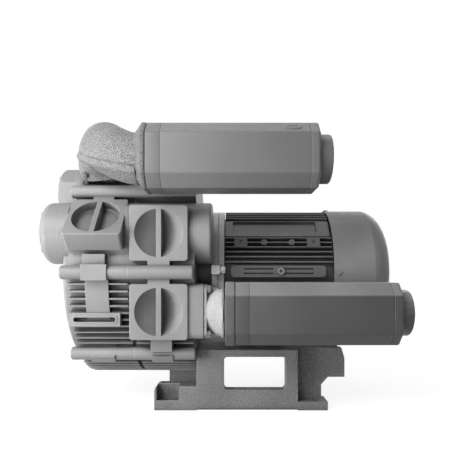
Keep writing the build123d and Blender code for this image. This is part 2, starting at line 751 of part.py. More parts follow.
def bearing(x):
    """Outer ring, inner ring, and the cage with its balls."""
    pitch = (BEARING_SEAT_R + BEARING_OUT_R) / 2
    ball_r = (BEARING_OUT_R - BEARING_SEAT_R) / 2 - RACE_WALL + 5.0
    outer = disc(x, BEARING_W, BEARING_OUT_R - SEAT_GAP, BEARING_OUT_R - RACE_WALL)
    inner = disc(x, BEARING_W, BEARING_SEAT_R + RACE_WALL, BEARING_SEAT_R + SEAT_GAP)
    mid = x + BEARING_W / 2
    ring = Plane(origin=on_axis(mid), x_dir=(1, 0, 0), z_dir=(0, -1, 0))
    race = revolve(ring * Pos(0, pitch) * Circle(ball_r + BALL_GAP), Axis(on_axis(mid), (1, 0, 0)), 360)
    outer -= race
    inner -= race
    cage = disc(mid - CAGE_THICK / 2, CAGE_THICK, pitch + 4.5, pitch - 4.5)
    for k in range(BALLS):
        y, z = polar(pitch, 360.0 / BALLS * k)
        cage += Pos(*on_axis(mid, y, z)) * Sphere(ball_r)
    return outer, inner, cage


# Motor

FAN_X = NDE_BEARING_X + BEARING_W + 16.0


def motor_frame():
    """Finned stator housing with front panel pad, terminal pad and two pairs of feet."""
    fins = []
    for k in range(MOTOR_FINS):
        angle = 360.0 / MOTOR_FINS * k
        if not motor_bare(angle):
            y, z = polar((FRAME_ROOT_R + MOTOR_R - FIN_ROOT_SINK) / 2, angle)
            fin = Rectangle(MOTOR_R - FRAME_ROOT_R + FIN_ROOT_SINK, MOTOR_FIN_THICK)
            fins.append(Pos(y, z) * Rot(0, 0, -angle) * fin)
    frame = extrude(section(FRAME_X + 3.0) * (Circle(FRAME_ROOT_R) + fins), FRAME_LEN - 6.0)
    frame += disc(FRAME_X, FRAME_LEN, FRAME_ROOT_R)
    # Panel pad above the shaft on the front
    mid = PANEL_X + PANEL_LEN / 2
    pad = facing(mid, PANEL_FACE, 0, PANEL_ANGLE)
    frame += extrude(pad * Pos(0, PANEL_UP) * RectangleRounded(PANEL_LEN, PANEL_H, 5.0), -45.0)
    recess = pad * Pos(RECESS_X - mid, RECESS_UP) * RectangleRounded(RECESS_LEN, RECESS_H, 4.0)
    frame -= extrude(recess, -PANEL_RECESS)
    # Pads with holes between the fins, and the plate by the shaft line
    for x in PAD_X:
        spot = facing(x, MOTOR_R + 1.0, 0, PAD_ANGLE)
        frame += extrude(spot * Rectangle(34.0, 26.0), -32.0) - extrude(spot * Circle(4.5), -20.0)
    for x in BOSS_X:
        frame += extrude(facing(x, MOTOR_R + 1.0, 0, PAD_ANGLE) * Circle(PAD_BOSS_R), -32.0)
    rail = facing(FRAME_X + 142.0, MOTOR_R + 0.5, 0, 1.0)
    frame += extrude(rail * RectangleRounded(246.0, 30.0, 8.0), -26.0)
    for side in (-1, 1):
        for row in (-5.5, 6.5):
            slot = rail * Pos(side * 52.0, row) * SlotOverall(78.0, 5.0)
            frame -= extrude(slot, -8.0)
    # Terminal pad on the far side
    back = facing(TBOX_X + TBOX_LEN / 2, MOTOR_R + 4.0, 0, 180.0)
    frame += extrude(back * RectangleRounded(TBOX_LEN - 10.0, TBOX_H - 10.0, 6.0), -50.0)
    # Feet that stand on the base deck
    for x in MOTOR_FOOT_X:
        for side in (-1, 1):
            y = side * MOTOR_FOOT_Y
            frame += box_between(x - MOTOR_FOOT_LEN / 2, x + MOTOR_FOOT_LEN / 2,
                                 y - MOTOR_FOOT_W / 2, y + MOTOR_FOOT_W / 2, BASE_TOP, AXIS_H - 105.0)
    frame -= disc(FRAME_X - 1.0, FRAME_LEN + 2.0, FRAME_BORE_R)
    for x in MOTOR_FOOT_X:
        for side in (-1, 1):
            frame -= Pos(x, side * MOTOR_FOOT_Y, BASE_TOP + 10.0) * Cylinder(BASE_BOLT_R + SEAT_GAP, 40.0)
    for angle in (0.0, 90.0, 180.0, 270.0):
        y, z = polar(FRAME_BORE_R + 8.5, angle)
        for x in (FRAME_X - 1.0, COWL_X - 25.0):
            frame -= round_bar(x, 26.0, y, z, SHIELD_SCREW_R + SEAT_GAP)
    wire = Plane(origin=on_axis(TBOX_X + TBOX_LEN / 2, 160.0, 0), x_dir=(1, 0, 0), z_dir=(0, 1, 0))
    frame -= extrude(wire * Circle(18.0), 60.0, both=True)
    return frame


SHIELD_SCREW_R = 4.0


def motor_bare(angle):
    """True where a pad covers the motor's fins."""
    turned = (angle + 180.0) % 360.0 - 180.0
    front = 33.0 < turned < 57.0
    rail = -5.5 < turned < 7.5
    back = abs(abs(turned) - 180.0) < 22.0
    return front or rail or back


def drive_shield():
    """Flange shield between the blower neck and the motor frame."""
    shield = disc(FLANGE_X, SHIELD_LEN, MOTOR_R)
    shield = shield - disc(FLANGE_X + 15.0, 2.0, MOTOR_R + 1.0, MOTOR_R - 2.5)
    shield += disc(FLANGE_X - SPIGOT_LEN, SPIGOT_LEN, SPIGOT_R)
    shield += disc(FLANGE_X + SHIELD_LEN, 6.0, FRAME_BORE_R - SEAT_GAP, FRAME_BORE_R - 6.0)
    shield += disc(FLANGE_X + SHIELD_LEN, 14.0, SHIELD_HUB_R)
    shield -= disc(DE_BEARING_X, BEARING_W, BEARING_OUT_R)
    shield -= disc(DE_BEARING_X + BEARING_W - 0.1, 40.0, BEARING_OUT_R - 8.0)
    shield -= disc(FLANGE_X - SPIGOT_LEN - 1.0, 40.0, SPACER_R + 2.0)
    shield -= disc(FLANGE_X - SPIGOT_LEN - 1.0, DE_BEARING_X - FLANGE_X + SPIGOT_LEN + 2.0, SPACER_R + 2.0)
    for side in (-1, 1):
        shield += box_between(FLANGE_X, FLANGE_X + LUG_LEN, side * (MOTOR_R - 8.0), side * (MOTOR_R + LUG_REACH),
                              AXIS_H + LUG_RISE - LUG_W / 2, AXIS_H + LUG_RISE + LUG_W / 2)
    for y, z in flange_bolt_places():
        shield -= round_bar(FLANGE_X - 1.0, SHIELD_LEN + 2.0, y, z, FLANGE_BOLT_R + 0.3)
        shield -= round_bar(FLANGE_X + 14.0, SHIELD_LEN, y, z, 17.0)
    for angle in (0.0, 90.0, 180.0, 270.0):
        y, z = polar(FRAME_BORE_R + 8.5, angle)
        shield -= round_bar(FLANGE_X - 1.0, SHIELD_LEN + 2.0, y, z, SHIELD_SCREW_R + SEAT_GAP)
        shield -= round_bar(FLANGE_X - 1.0, 11.0, y, z, SHIELD_SCREW_R + 4.0)
    for side in (-1, 1):
        y = side * (MOTOR_R + LUG_REACH - 11.0)
        shield -= round_bar(FLANGE_X - 1.0, 30.0, y, LUG_RISE, LUG_BOLT_R + SEAT_GAP)
    return shield


LUG_BOLT_R = 5.0


def lug_bolts():
    """Hex bolts in the two side lugs of the flange."""
    made = []
    for side in (-1, 1):
        y = side * (MOTOR_R + LUG_REACH - 11.0)
        spot = Plane(origin=on_axis(FLANGE_X + LUG_LEN, y, LUG_RISE), x_dir=(0, 1, 0), z_dir=(1, 0, 0))
        made.append(hex_bar(spot, 17.0, 14.0) + round_bar(FLANGE_X, LUG_LEN, y, LUG_RISE, LUG_BOLT_R))
    return made


def rear_shield():
    shield = disc(COWL_X, NDE_DISC, FRAME_ROOT_R + 2.0)
    shield += disc(COWL_X - 6.0, 6.0, FRAME_BORE_R - SEAT_GAP, FRAME_BORE_R - 8.0)
    shield += disc(NDE_BEARING_X - 4.0, COWL_X - NDE_BEARING_X + 5.0, SHIELD_HUB_R - 4.0)
    for angle in COWL_LUG_ANGLES:
        spot = facing(COWL_X + NDE_DISC / 2, COWL_R - COWL_WALL - SEAT_GAP, 0, angle)
        shield += extrude(spot * Rectangle(NDE_DISC, 26.0), -26.0)
        shield -= extrude(spot * Circle(3.0 + SEAT_GAP), -16.0)
    shield = shield & disc(NDE_BEARING_X - 4.0, 60.0, COWL_R - COWL_WALL - SEAT_GAP)
    shield -= disc(NDE_BEARING_X, BEARING_W, BEARING_OUT_R)
    shield -= disc(NDE_BEARING_X - 10.0, 80.0, BEARING_OUT_R - 9.0)
    shield -= disc(NDE_BEARING_X + BEARING_W, NDE_DISC, BEARING_OUT_R + 14.0 + SEAT_GAP)
    for angle in (0.0, 90.0, 180.0, 270.0):
        y, z = polar(FRAME_BORE_R + 8.5, angle)
        shield -= round_bar(COWL_X - 1.0, NDE_DISC + 2.0, y, z, SHIELD_SCREW_R + SEAT_GAP)
    return shield


COWL_LUG_ANGLES = (0.0, 90.0, 180.0, 270.0)


def bearing_cover():
    """Cover that keeps the rear bearing in its seat."""
    x = NDE_BEARING_X + BEARING_W
    return disc(x, 5.0, BEARING_OUT_R + 14.0, FAN_SEAT_R + 12.0)


def shield_screws(end):
    made = []
    for angle in (0.0, 90.0, 180.0, 270.0):
        y, z = polar(FRAME_BORE_R + 8.5, angle)
        if end == "drive":
            x0 = FLANGE_X + 2.0
            spot = Plane(origin=on_axis(x0, y, z), x_dir=(0, 1, 0), z_dir=(1, 0, 0))
            head = hex_bar(spot, 13.0, 8.0)
            made.append(head + round_bar(x0 + 8.0, FRAME_X + 22.0 - x0 - 8.0, y, z, SHIELD_SCREW_R))
        else:
            x0 = COWL_X + NDE_DISC
            spot = Plane(origin=on_axis(x0, y, z), x_dir=(0, 1, 0), z_dir=(1, 0, 0))
            made.append(hex_bar(spot, 13.0, 8.0) + round_bar(COWL_X - 22.0, NDE_DISC + 22.0, y, z, SHIELD_SCREW_R))
    return made


def flange_bolts():
    """Studs and nuts that hold the motor to the blower."""
    made = []
    for y, z in flange_bolt_places():
        spot = Plane(origin=on_axis(FLANGE_X + 14.0, y, z), x_dir=(0, 1, 0), z_dir=(1, 0, 0))
        stud = round_bar(FLANGE_X - 24.0, 24.0 + 14.0 + FLANGE_NUT_LEN + 3.0, y, z, FLANGE_BOLT_R)
        made.append(stud + hex_bar(spot, FLANGE_NUT_FLAT, FLANGE_NUT_LEN))
    return made


def windings():
    """Copper end turns on both sides of the stator stack."""
    made = []
    for x in (CORE_X - WINDING_LEN, CORE_X + CORE_LEN):
        ring = disc(x, WINDING_LEN, WINDING_OUT_R, WINDING_IN_R)
        edges = ring.edges().filter_by(GeomType.CIRCLE).sort_by(Axis.X)
        outer = edges[:2] if x < CORE_X else edges[-2:]
        made.append(fillet(outer, 9.0))
    return made


def cooling_fan():
    fan = disc(FAN_X, FAN_LEN - 12.0, FAN_HUB_R, FAN_SEAT_R + SEAT_GAP)
    fan += disc(FAN_X, 4.0, FAN_R - 20.0, FAN_SEAT_R + SEAT_GAP)
    for k in range(FAN_BLADES):
        y, z = polar((FAN_R + FAN_HUB_R) / 2, 360.0 / FAN_BLADES * k)
        blade = Pos(*on_axis(FAN_X + FAN_LEN / 2 - 4, y, z)) * Rot(-360.0 / FAN_BLADES * k, 0, 0)
        fan += blade * Box(FAN_LEN - 8.0, FAN_R - FAN_HUB_R + 4.0, FAN_BLADE_THICK)
    return fan


def cowl_profile(shrink):
    """Half section of the cowl, smaller by a wall for its inside."""
    r = COWL_R - shrink
    end = COWL_X + COWL_LEN
    corner = COWL_ROUND - shrink
    with BuildSketch(Plane(origin=on_axis(0), x_dir=(1, 0, 0), z_dir=(0, -1, 0))) as half:
        with BuildLine():
            Line((COWL_X, 0), (COWL_X, r))
            Line((COWL_X, r), (end, r))
            RadiusArc((end, r), (end + corner, r - corner), COWL_ARC - shrink)
            Line((end + corner, r - corner), (end + corner, 0))
            Line((end + corner, 0), (COWL_X, 0))
        make_face()
    return half.sketch


def fan_cowl():
    axis = Axis(on_axis(0), (1, 0, 0))
    cowl = revolve(cowl_profile(0.0), axis, 360)
    cowl -= revolve(cowl_profile(COWL_WALL), axis, 360)
    cowl -= disc(COWL_X - 1.0, 2.0, COWL_R - COWL_WALL)
    face_x = COWL_X + COWL_LEN + COWL_ROUND - COWL_WALL - 2.0
    cuts = []
    for ring in range(GRILLE_RINGS):
        r_in = GRILLE_START + GRILLE_STEP * ring
        rest = disc(face_x, 10.0, r_in + GRILLE_SLOT, r_in)
        for k in range(GRILLE_SPOKES):
            spoke = Pos(*on_axis(face_x + 5.0)) * Rot(-360.0 / GRILLE_SPOKES * k, 0, 0)
            rest -= spoke * Pos(0, -80.0, 0) * Box(12.0, 160.0, SPOKE_ANGLE * 0.9)
        cuts.append(rest)
    for cut in cuts:
        cowl -= cut
    for angle in COWL_LUG_ANGLES:
        spot = facing(COWL_X + NDE_DISC / 2, COWL_R + 5.0, 0, angle)
        cowl -= extrude(spot * Circle(3.0 + SEAT_GAP), -12.0)
    return cowl


def cowl_screws():
    made = []
    for angle in COWL_LUG_ANGLES:
        spot = facing(COWL_X + NDE_DISC / 2, COWL_R, 0, angle)
        made.append(extrude(spot * Circle(3.0), -14.0) + extrude(spot * Circle(6.5), 4.0))
    return made


def terminal_parts():
    """Box, gasket, lid, glands and lid screws on the far side."""
    mid = TBOX_X + TBOX_LEN / 2
    y0 = MOTOR_R + 4.0
    y1 = y0 + TBOX_REACH
    low, high = AXIS_H - TBOX_H / 2, AXIS_H + TBOX_H / 2
    case = box_between(TBOX_X, TBOX_X + TBOX_LEN, y0, y1, low, high)
    case = fillet(case.edges().filter_by(Axis.Y), 10.0)
    w = TBOX_WALL
    inside = box_between(TBOX_X + w, TBOX_X + TBOX_LEN - w, y0 + w, y1 + 1, low + w, high - w)
    posts = []
    holes = []
    screws = []
    for a in (-1, 1):
        for b in (-1, 1):
            x = mid + a * (TBOX_LEN / 2 - 13.0)
            z = AXIS_H + b * (TBOX_H / 2 - 13.0)
            spot = Plane(origin=(x, y1 + GASKET + LID_THICK, z), x_dir=(1, 0, 0), z_dir=(0, 1, 0))
            posts.append(box_between(x - 10, x + 10, y0, y1, z - 10, z + 10))
            holes.append(extrude(spot * Circle(3.0 + SEAT_GAP), -40.0))
            screws.append(extrude(spot * Circle(6.0), 4.0) + extrude(spot * Circle(3.0), -36.0))
    case = case - (inside - posts)
    case -= holes
    wire = Plane(origin=(mid, y0, AXIS_H), x_dir=(1, 0, 0), z_dir=(0, 1, 0))
    case -= extrude(wire * Circle(18.0), 10.0, both=True)
    gland_places = (mid - 32.0, mid + 32.0)
    glands = []
    for x in gland_places:
        spot = Plane(origin=(x, y0 + TBOX_REACH / 2, low), x_dir=(1, 0, 0), z_dir=(0, 0, -1))
        case -= extrude(spot * Circle(GLAND_R - 5.0), 10.0, both=True)
        body = hex_bar(spot, 2 * GLAND_R, 12.0) + extrude(spot * Circle(GLAND_R - 2.0), GLAND_LEN)
        body += extrude(spot * Circle(GLAND_R - 5.0 - SEAT_GAP), -TBOX_WALL)
        body = chamfer(body.edges().filter_by(GeomType.CIRCLE).sort_by(Axis.Z)[0], 3.0)
        body -= extrude(spot * Circle(7.0), GLAND_LEN + 10.0, both=True)
        glands.append(body)
    gasket = box_between(TBOX_X + 2, TBOX_X + TBOX_LEN - 2, y1, y1 + GASKET, low + 2, high - 2)
    gasket = fillet(gasket.edges().filter_by(Axis.Y), 9.0)
    gasket -= box_between(TBOX_X + 22, TBOX_X + TBOX_LEN - 22, y1 - 1, y1 + GASKET + 1, low + 22, high - 22)
    gasket -= holes
    lid = box_between(TBOX_X, TBOX_X + TBOX_LEN, y1 + GASKET, y1 + GASKET + LID_THICK, low, high)
    lid = fillet(lid.edges().filter_by(Axis.Y), 10.0)
    lid = fillet(lid.faces().sort_by(Axis.Y)[-1].edges(), 4.0)
    lid -= holes
    return {"terminal_box": case, "terminal_gasket": gasket, "terminal_lid": lid,
            "cable_glands": glands, "terminal_lid_screws": screws}


# Silencers

def eight_sided(inset=0.0):
    """Eight sided outline: local x along Y, local y along Z."""
    h = SIL_MAIN / 2
    w = SIL_WIDE / 2
    c = SIL_CHAMFER
    k = inset * 0.414
    half_y, half_z = w + c - inset, h + c - inset
    points = [(half_y, h - k), (w - k, half_z), (-w + k, half_z), (-half_y, h - k),
              (-half_y, -h + k), (-w + k, -half_z), (w - k, -half_z), (half_y, -h + k)]
    return Polygon(*points, align=None)


def silencer(place):
    """Inlet cap, collar, shell, end cap, nozzle, perforated liner and foam sleeve."""
    x, y, z = place

    def cut(at):
        return Plane(origin=(at, y, z), x_dir=(0, 1, 0), z_dir=(1, 0, 0))

    x1 = x + SIL_CAP
    x2 = x1 + SIL_COLLAR
    x3 = x2 + SIL_BODY
    x4 = x3 + SIL_END
    cap = extrude(cut(x + SIL_TAPER) * eight_sided(), SIL_CAP - SIL_TAPER)
    cap += loft([cut(x) * eight_sided(SIL_TAPER_INSET), cut(x + SIL_TAPER) * eight_sided()])
    cap = chamfer(cap.faces().sort_by(Axis.X)[-1].edges(), SEAM)
    cap -= extrude(cut(x - 1.0) * Circle(ELBOW_BORE_R), SIL_CAP + 2.0)
    cap -= extrude(cut(x + SIL_CAP - 6.0) * Circle(LINER_R + LINER_WALL + SEAT_GAP), 7.0)
    collar = extrude(cut(x1) * eight_sided(), SIL_COLLAR)
    collar = chamfer(collar.faces().sort_by(Axis.X)[0].edges(), SEAM)
    collar = chamfer(collar.faces().sort_by(Axis.X)[-1].edges(), SEAM / 2)
    collar -= extrude(cut(x1 - 1.0) * eight_sided(SIL_WALL + 2.0), SIL_COLLAR + 2.0)
    shell = extrude(cut(x2) * eight_sided(), SIL_BODY)
    for end in (0, -1):
        shell = chamfer(shell.faces().sort_by(Axis.X)[end].edges(), SEAM / 2)
    shell -= extrude(cut(x2 - 1.0) * eight_sided(SIL_WALL), SIL_BODY + 2.0)
    end = extrude(cut(x3) * eight_sided(), SIL_END)
    end = chamfer(end.faces().sort_by(Axis.X)[-1].edges(), SIL_END_CHAMFER)
    end = chamfer(end.faces().sort_by(Axis.X)[0].edges(), SEAM / 2)
    end -= extrude(cut(x3 - 1.0) * Circle(LINER_R + LINER_WALL + SEAT_GAP), 9.0)
    end -= extrude(cut(x3 - 1.0) * Circle(NOZZLE_BORE_R), SIL_END + 2.0)
    nozzle = extrude(cut(x4) * Circle(NOZZLE_R), NOZZLE_LEN)
    nozzle = fillet(nozzle.edges().filter_by(GeomType.CIRCLE).sort_by(Axis.X)[-1], 5.0)
    nozzle -= extrude(cut(x4 - 1.0) * Circle(NOZZLE_BORE_R), NOZZLE_LEN + 2.0)
    liner_x0 = x1 - 6.0 + 0.2
    liner_len = SIL_COLLAR + SIL_BODY + 6.0 + 8.0 - 0.4
    liner = extrude(cut(liner_x0) * (Circle(LINER_R + LINER_WALL) - Circle(LINER_R)), liner_len)
    rows = int((SIL_BODY - 30.0) / LINER_HOLE_STEP)
    holes = []
    for row in range(rows):
        at = x2 + 20.0 + LINER_HOLE_STEP * row
        for k in range(3):
            hole = Pos(at, y, z) * Rot(60.0 * k + 30.0 * (row % 2), 0, 0) * Cylinder(LINER_HOLE_R, 120.0)
            holes.append(hole)
    liner -= holes
    gap = 0.3
    foam = extrude(cut(x2 + gap) * eight_sided(SIL_WALL + gap), SIL_BODY - 2 * gap)
    foam -= extrude(cut(x2 - 1.0) * Circle(LINER_R + LINER_WALL + gap), SIL_BODY + 2.0)
    return {"inlet_cap": cap, "collar": collar, "shell": shell, "end_cap": end + nozzle,
            "liner": liner, "foam": foam}


# Elbows

def lofted(route, radii):
    """A round tube along a route, through one circle for each radius."""
    rings = []
    for i, radius in enumerate(radii):
        t = i / (len(radii) - 1)
        rings.append(Plane(origin=route @ t, z_dir=route % t) * Circle(radius))
    return loft(rings)


def suction_route():
    """Centre line of the suction elbow, from the port flange to the silencer."""
    flange = facing(STAGE_MID["left"], PORT_FACE + GASKET + ELBOW_FLANGE, -PORT_MID, PORT_ANGLE["left"])
    x, y, z = UPPER_SIL
    start = flange.origin - flange.z_dir * 4.0
    top = Vector(start.X - ELBOW_LEAN, start.Y * 0.35 + y * 0.65, z + ELBOW_HUMP)
    return Bezier(start, start + flange.z_dir * ELBOW_RISE, top, Vector(x - ELBOW_RUN, y, z), Vector(x, y, z))


def suction_elbow():
    """Cast elbow from the upper port to the upper silencer."""
    flange_plane = facing(STAGE_MID["left"], PORT_FACE + GASKET, -PORT_MID, PORT_ANGLE["left"])
    flange = extrude(flange_plane * RectangleRounded(PORT_WIDTH - 4.0, PORT_HEIGHT - 2.0, PORT_CORNER + 4.0),
                     ELBOW_FLANGE)
    flange = chamfer(flange.faces().sort_by(Axis(flange_plane.origin, flange_plane.z_dir))[-1].edges(), 3.0)
    route = suction_route()
    wall = ELBOW_R - ELBOW_BORE_R
    elbow = flange + lofted(route, ELBOW_RADII)
    for x, y in stud_places():
        spot = flange_plane * Pos(x, y)
        elbow -= extrude(spot * Circle(ELBOW_STUD_R + SEAT_GAP), ELBOW_FLANGE + 1.0)
        elbow -= Pos(flange_plane.z_dir * ELBOW_FLANGE) * extrude(spot * Circle(NUT_FLAT / 2 + 4.0), 24.0)
    elbow -= lofted(route, [radius - wall for radius in ELBOW_RADII])
    elbow -= extrude(flange_plane * Circle(ELBOW_BORE_R), ELBOW_FLANGE - 3.0)
    return elbow


def suction_gasket():
    plane = facing(STAGE_MID["left"], PORT_FACE, -PORT_MID, PORT_ANGLE["left"])
    sheet = plane * RectangleRounded(PORT_WIDTH - 6.0, PORT_HEIGHT - 6.0, PORT_CORNER + 4.0)
    sheet -= plane * Circle(PORT_BORE_R)
    for x, y in stud_places():
        sheet -= plane * Pos(x, y) * Circle(ELBOW_STUD_R + 0.5)
    return extrude(sheet, GASKET)


def suction_studs():
    plane = facing(STAGE_MID["left"], PORT_FACE + GASKET + ELBOW_FLANGE, -PORT_MID, PORT_ANGLE["left"])
    made = []
    for x, y in stud_places():
        spot = plane * Pos(x, y)
        stud = extrude(spot * Circle(ELBOW_STUD_R), NUT_LEN + 3.0)
        stud += extrude(spot * Circle(ELBOW_STUD_R), -(ELBOW_FLANGE + GASKET + 22.0))
        stud += extrude(spot * RegularPolygon(NUT_FLAT / 2, 6, major_radius=False), NUT_LEN)
        made.append(stud)
    return made


def swan_neck(inset, start_r, end_r):
    """A tube across the discharge elbow whose rings stay square to the shaft as they shift sideways."""
    y0, z0 = DIS_CENTRE
    x0 = RIGHT_X + DIS_BOSS_LEN + GASKET
    x1, y1, z1 = LOWER_SIL
    rings = []
    for t in (0.0, 0.25, 0.5, 0.75, 1.0):
        shift = t * t * (3 - 2 * t)
        spot = (x0 + inset + (x1 - x0 - 2 * inset) * t, y0 + (y1 - y0) * shift, z0 + (z1 - z0) * shift)
        ring = Circle(start_r + (end_r - start_r) * t)
        rings.append(Plane(origin=spot, x_dir=(0, 1, 0), z_dir=(1, 0, 0)) * ring)
    return loft(rings)


def discharge_elbow():
    """Short swan neck from the discharge boss to the lower silencer."""
    y0, z0 = DIS_CENTRE
    x0 = RIGHT_X + DIS_BOSS_LEN + GASKET
    x1, y1, z1 = LOWER_SIL
    left = Plane(origin=(x0, y0, z0), x_dir=(0, 1, 0), z_dir=(1, 0, 0))
    flange = extrude(left * RectangleRounded(DIS_BOSS - 4.0, DIS_BOSS - 4.0, DIS_CORNER), DIS_FLANGE)
    right = Plane(origin=(x1 - DIS_FLANGE, y1, z1), x_dir=(0, 1, 0), z_dir=(1, 0, 0))
    ears = right * RectangleRounded(DIS_EARS, DIS_EARS, DIS_CORNER)
    elbow = flange + swan_neck(DIS_FLANGE / 2, DIS_START_R, DIS_END_R) + extrude(ears, DIS_FLANGE)
    elbow -= swan_neck(-1.0, ELBOW_BORE_R, ELBOW_BORE_R)
    for u, v in dis_stud_places():
        spot = left * Pos(u, v)
        elbow -= extrude(spot * Circle(ELBOW_STUD_R + SEAT_GAP), DIS_FLANGE + 1.0)
        elbow -= Pos(DIS_FLANGE, 0, 0) * extrude(spot * Circle(NUT_FLAT / 2 + 2.5), NUT_LEN + 4.0)
    return elbow


def discharge_gasket():
    plane = Plane(origin=(RIGHT_X + DIS_BOSS_LEN, DIS_CENTRE[0], DIS_CENTRE[1]), x_dir=(0, 1, 0), z_dir=(1, 0, 0))
    sheet = plane * RectangleRounded(DIS_BOSS - 6.0, DIS_BOSS - 6.0, DIS_CORNER)
    sheet -= plane * Circle(PORT_BORE_R)
    for u, v in dis_stud_places():
        sheet -= plane * Pos(u, v) * Circle(ELBOW_STUD_R + 0.5)
    return extrude(sheet, GASKET)


def discharge_studs():
    x0 = RIGHT_X + DIS_BOSS_LEN + GASKET + DIS_FLANGE
    plane = Plane(origin=(x0, DIS_CENTRE[0], DIS_CENTRE[1]), x_dir=(0, 1, 0), z_dir=(1, 0, 0))
    made = []
    for u, v in dis_stud_places():
        spot = plane * Pos(u, v)
        stud = extrude(spot * Circle(ELBOW_STUD_R), NUT_LEN + 2.0)
        stud += extrude(spot * Circle(ELBOW_STUD_R), -(DIS_FLANGE + GASKET + 18.0))
        stud += extrude(spot * RegularPolygon(NUT_FLAT / 2, 6, major_radius=False), NUT_LEN)
        made.append(stud)
    return made


# Base

WINDOW_X = COLUMN_X + COLUMN_W
SIDE_END_X = WINDOW_X + WINDOW_LEN + RIGHT_COLUMN_W


def base_side(side):
    """One side frame with its window, left arm, right foot and right wing; side is -1 or 1."""
    front = side * BASE_HALF_Y
    back = side * (BASE_HALF_Y - BASE_WALL)
    end_x = SIDE_END_X if side < 0 else FAR_END_X
    frame = box_between(COLUMN_X, end_x, front, back, 0, BASE_TOP)
    frame = fillet(frame.edges().filter_by(Axis.X).sort_by(Axis.Y)[0 if side < 0 else -1], 8.0)
    if side < 0:
        window = box_between(WINDOW_X, WINDOW_X + WINDOW_LEN, front + side, back - side,
                             WINDOW_BOTTOM, BASE_TOP - BASE_DECK)
        window = fillet(window.edges().filter_by(Axis.Y), 9.0)
    else:
        window = box_between(*FAR_WINDOW_X, front + side, back - side, -1.0, BASE_TOP - BASE_DECK)
    frame -= window
    deep = side * (BASE_HALF_Y - FOOT_DEPTH)
    arm = box_between(ARM_LEFT_X, COLUMN_X + 1.0, front, deep, 0, ARM_TOP)
    arm = fillet(arm.edges().filter_by(Axis.Y).sort_by(Axis.X)[:2].sort_by(Axis.Z)[-1], 12.0)
    scoop_back = side * (BASE_HALF_Y - WING_BACK)
    scoop = box_between(ARM_LEFT_X + 6.0, ARM_LEFT_X + 64.0, front + side, scoop_back, PLATE_THICK, ARM_TOP + 1.0)
    arm -= fillet(scoop.edges().filter_by(Axis.X).sort_by(Axis.Z)[:2], 8.0)
    foot = box_between(end_x - 1.0, FOOT_RIGHT_X, front, deep, 0, PLATE_THICK)
    wing_front = side * (BASE_HALF_Y - WING_BACK)
    shape = [(end_x - 2.0, PLATE_THICK - 1.0), (FOOT_RIGHT_X - 10.0, PLATE_THICK - 1.0),
             (FOOT_RIGHT_X - 10.0, 58.0), (FOOT_RIGHT_X + 8.0, 78.0), (WING_RIGHT_X, 78.0),
             (WING_RIGHT_X, 128.0), (WING_RIGHT_X - 8.0, BASE_TOP), (end_x - 2.0, BASE_TOP)]
    wire = Polyline([(x, wing_front, z) for x, z in shape], close=True)
    wing = extrude(make_face(wire), WING_THICK, dir=(0, -side, 0))
    return frame + arm + foot + wing


def base_foot():
    """Cast base: two side frames, a deck and an end wall against the casing."""
    base = base_side(-1) + base_side(1)
    inner = BASE_HALF_Y - BASE_WALL + 1.0
    base += box_between(COLUMN_X, SIDE_END_X, -inner, inner, BASE_TOP - BASE_DECK, BASE_TOP)
    wing = BASE_HALF_Y - WING_BACK - 1.0
    base += box_between(SIDE_END_X - 2.0, WING_RIGHT_X - 12.0, -wing, wing, BASE_TOP - BASE_DECK, BASE_TOP)
    base += box_between(COLUMN_X, COLUMN_X + END_WALL, -inner, inner, 30.0, BASE_TOP)
    for y in (-HOLE_SPACING_Y / 2, HOLE_SPACING_Y / 2):
        for x in (-HOLE_SPACING_X / 2, HOLE_SPACING_X / 2):
            base -= Pos(x, y, 0) * Cylinder(HOLE_R, 4 * PLATE_THICK)
    for y, z in base_bolt_places():
        base -= round_bar(COLUMN_X - 1.0, END_WALL + 2.0, y, z, BASE_BOLT_R + SEAT_GAP)
    for x in MOTOR_FOOT_X:
        for side in (-1, 1):
            base -= Pos(x, side * MOTOR_FOOT_Y, BASE_TOP) * Cylinder(BASE_BOLT_R + SEAT_GAP, 3 * BASE_DECK)
    return base


def base_bolts():
    """Bolts from the base into the casing web and up into the motor feet."""
    made = []
    for y, z in base_bolt_places():
        spot = Plane(origin=on_axis(COLUMN_X + END_WALL, y, z), x_dir=(0, 1, 0), z_dir=(1, 0, 0))
        shank = round_bar(RIGHT_X - WEB_THICK + 1.0, WEB_THICK - 1.0 + END_WALL, y, z, BASE_BOLT_R)
        made.append(hex_bar(spot, 24.0, 10.0) + shank)
    for x in MOTOR_FOOT_X:
        for side in (-1, 1):
            y = side * MOTOR_FOOT_Y
            spot = Plane(origin=(x, y, BASE_TOP - BASE_DECK), x_dir=(1, 0, 0), z_dir=(0, 0, -1))
            made.append(hex_bar(spot, 24.0, 10.0) + extrude(spot * Circle(BASE_BOLT_R), -BASE_DECK - 26.0))
    return made


# Write every piece

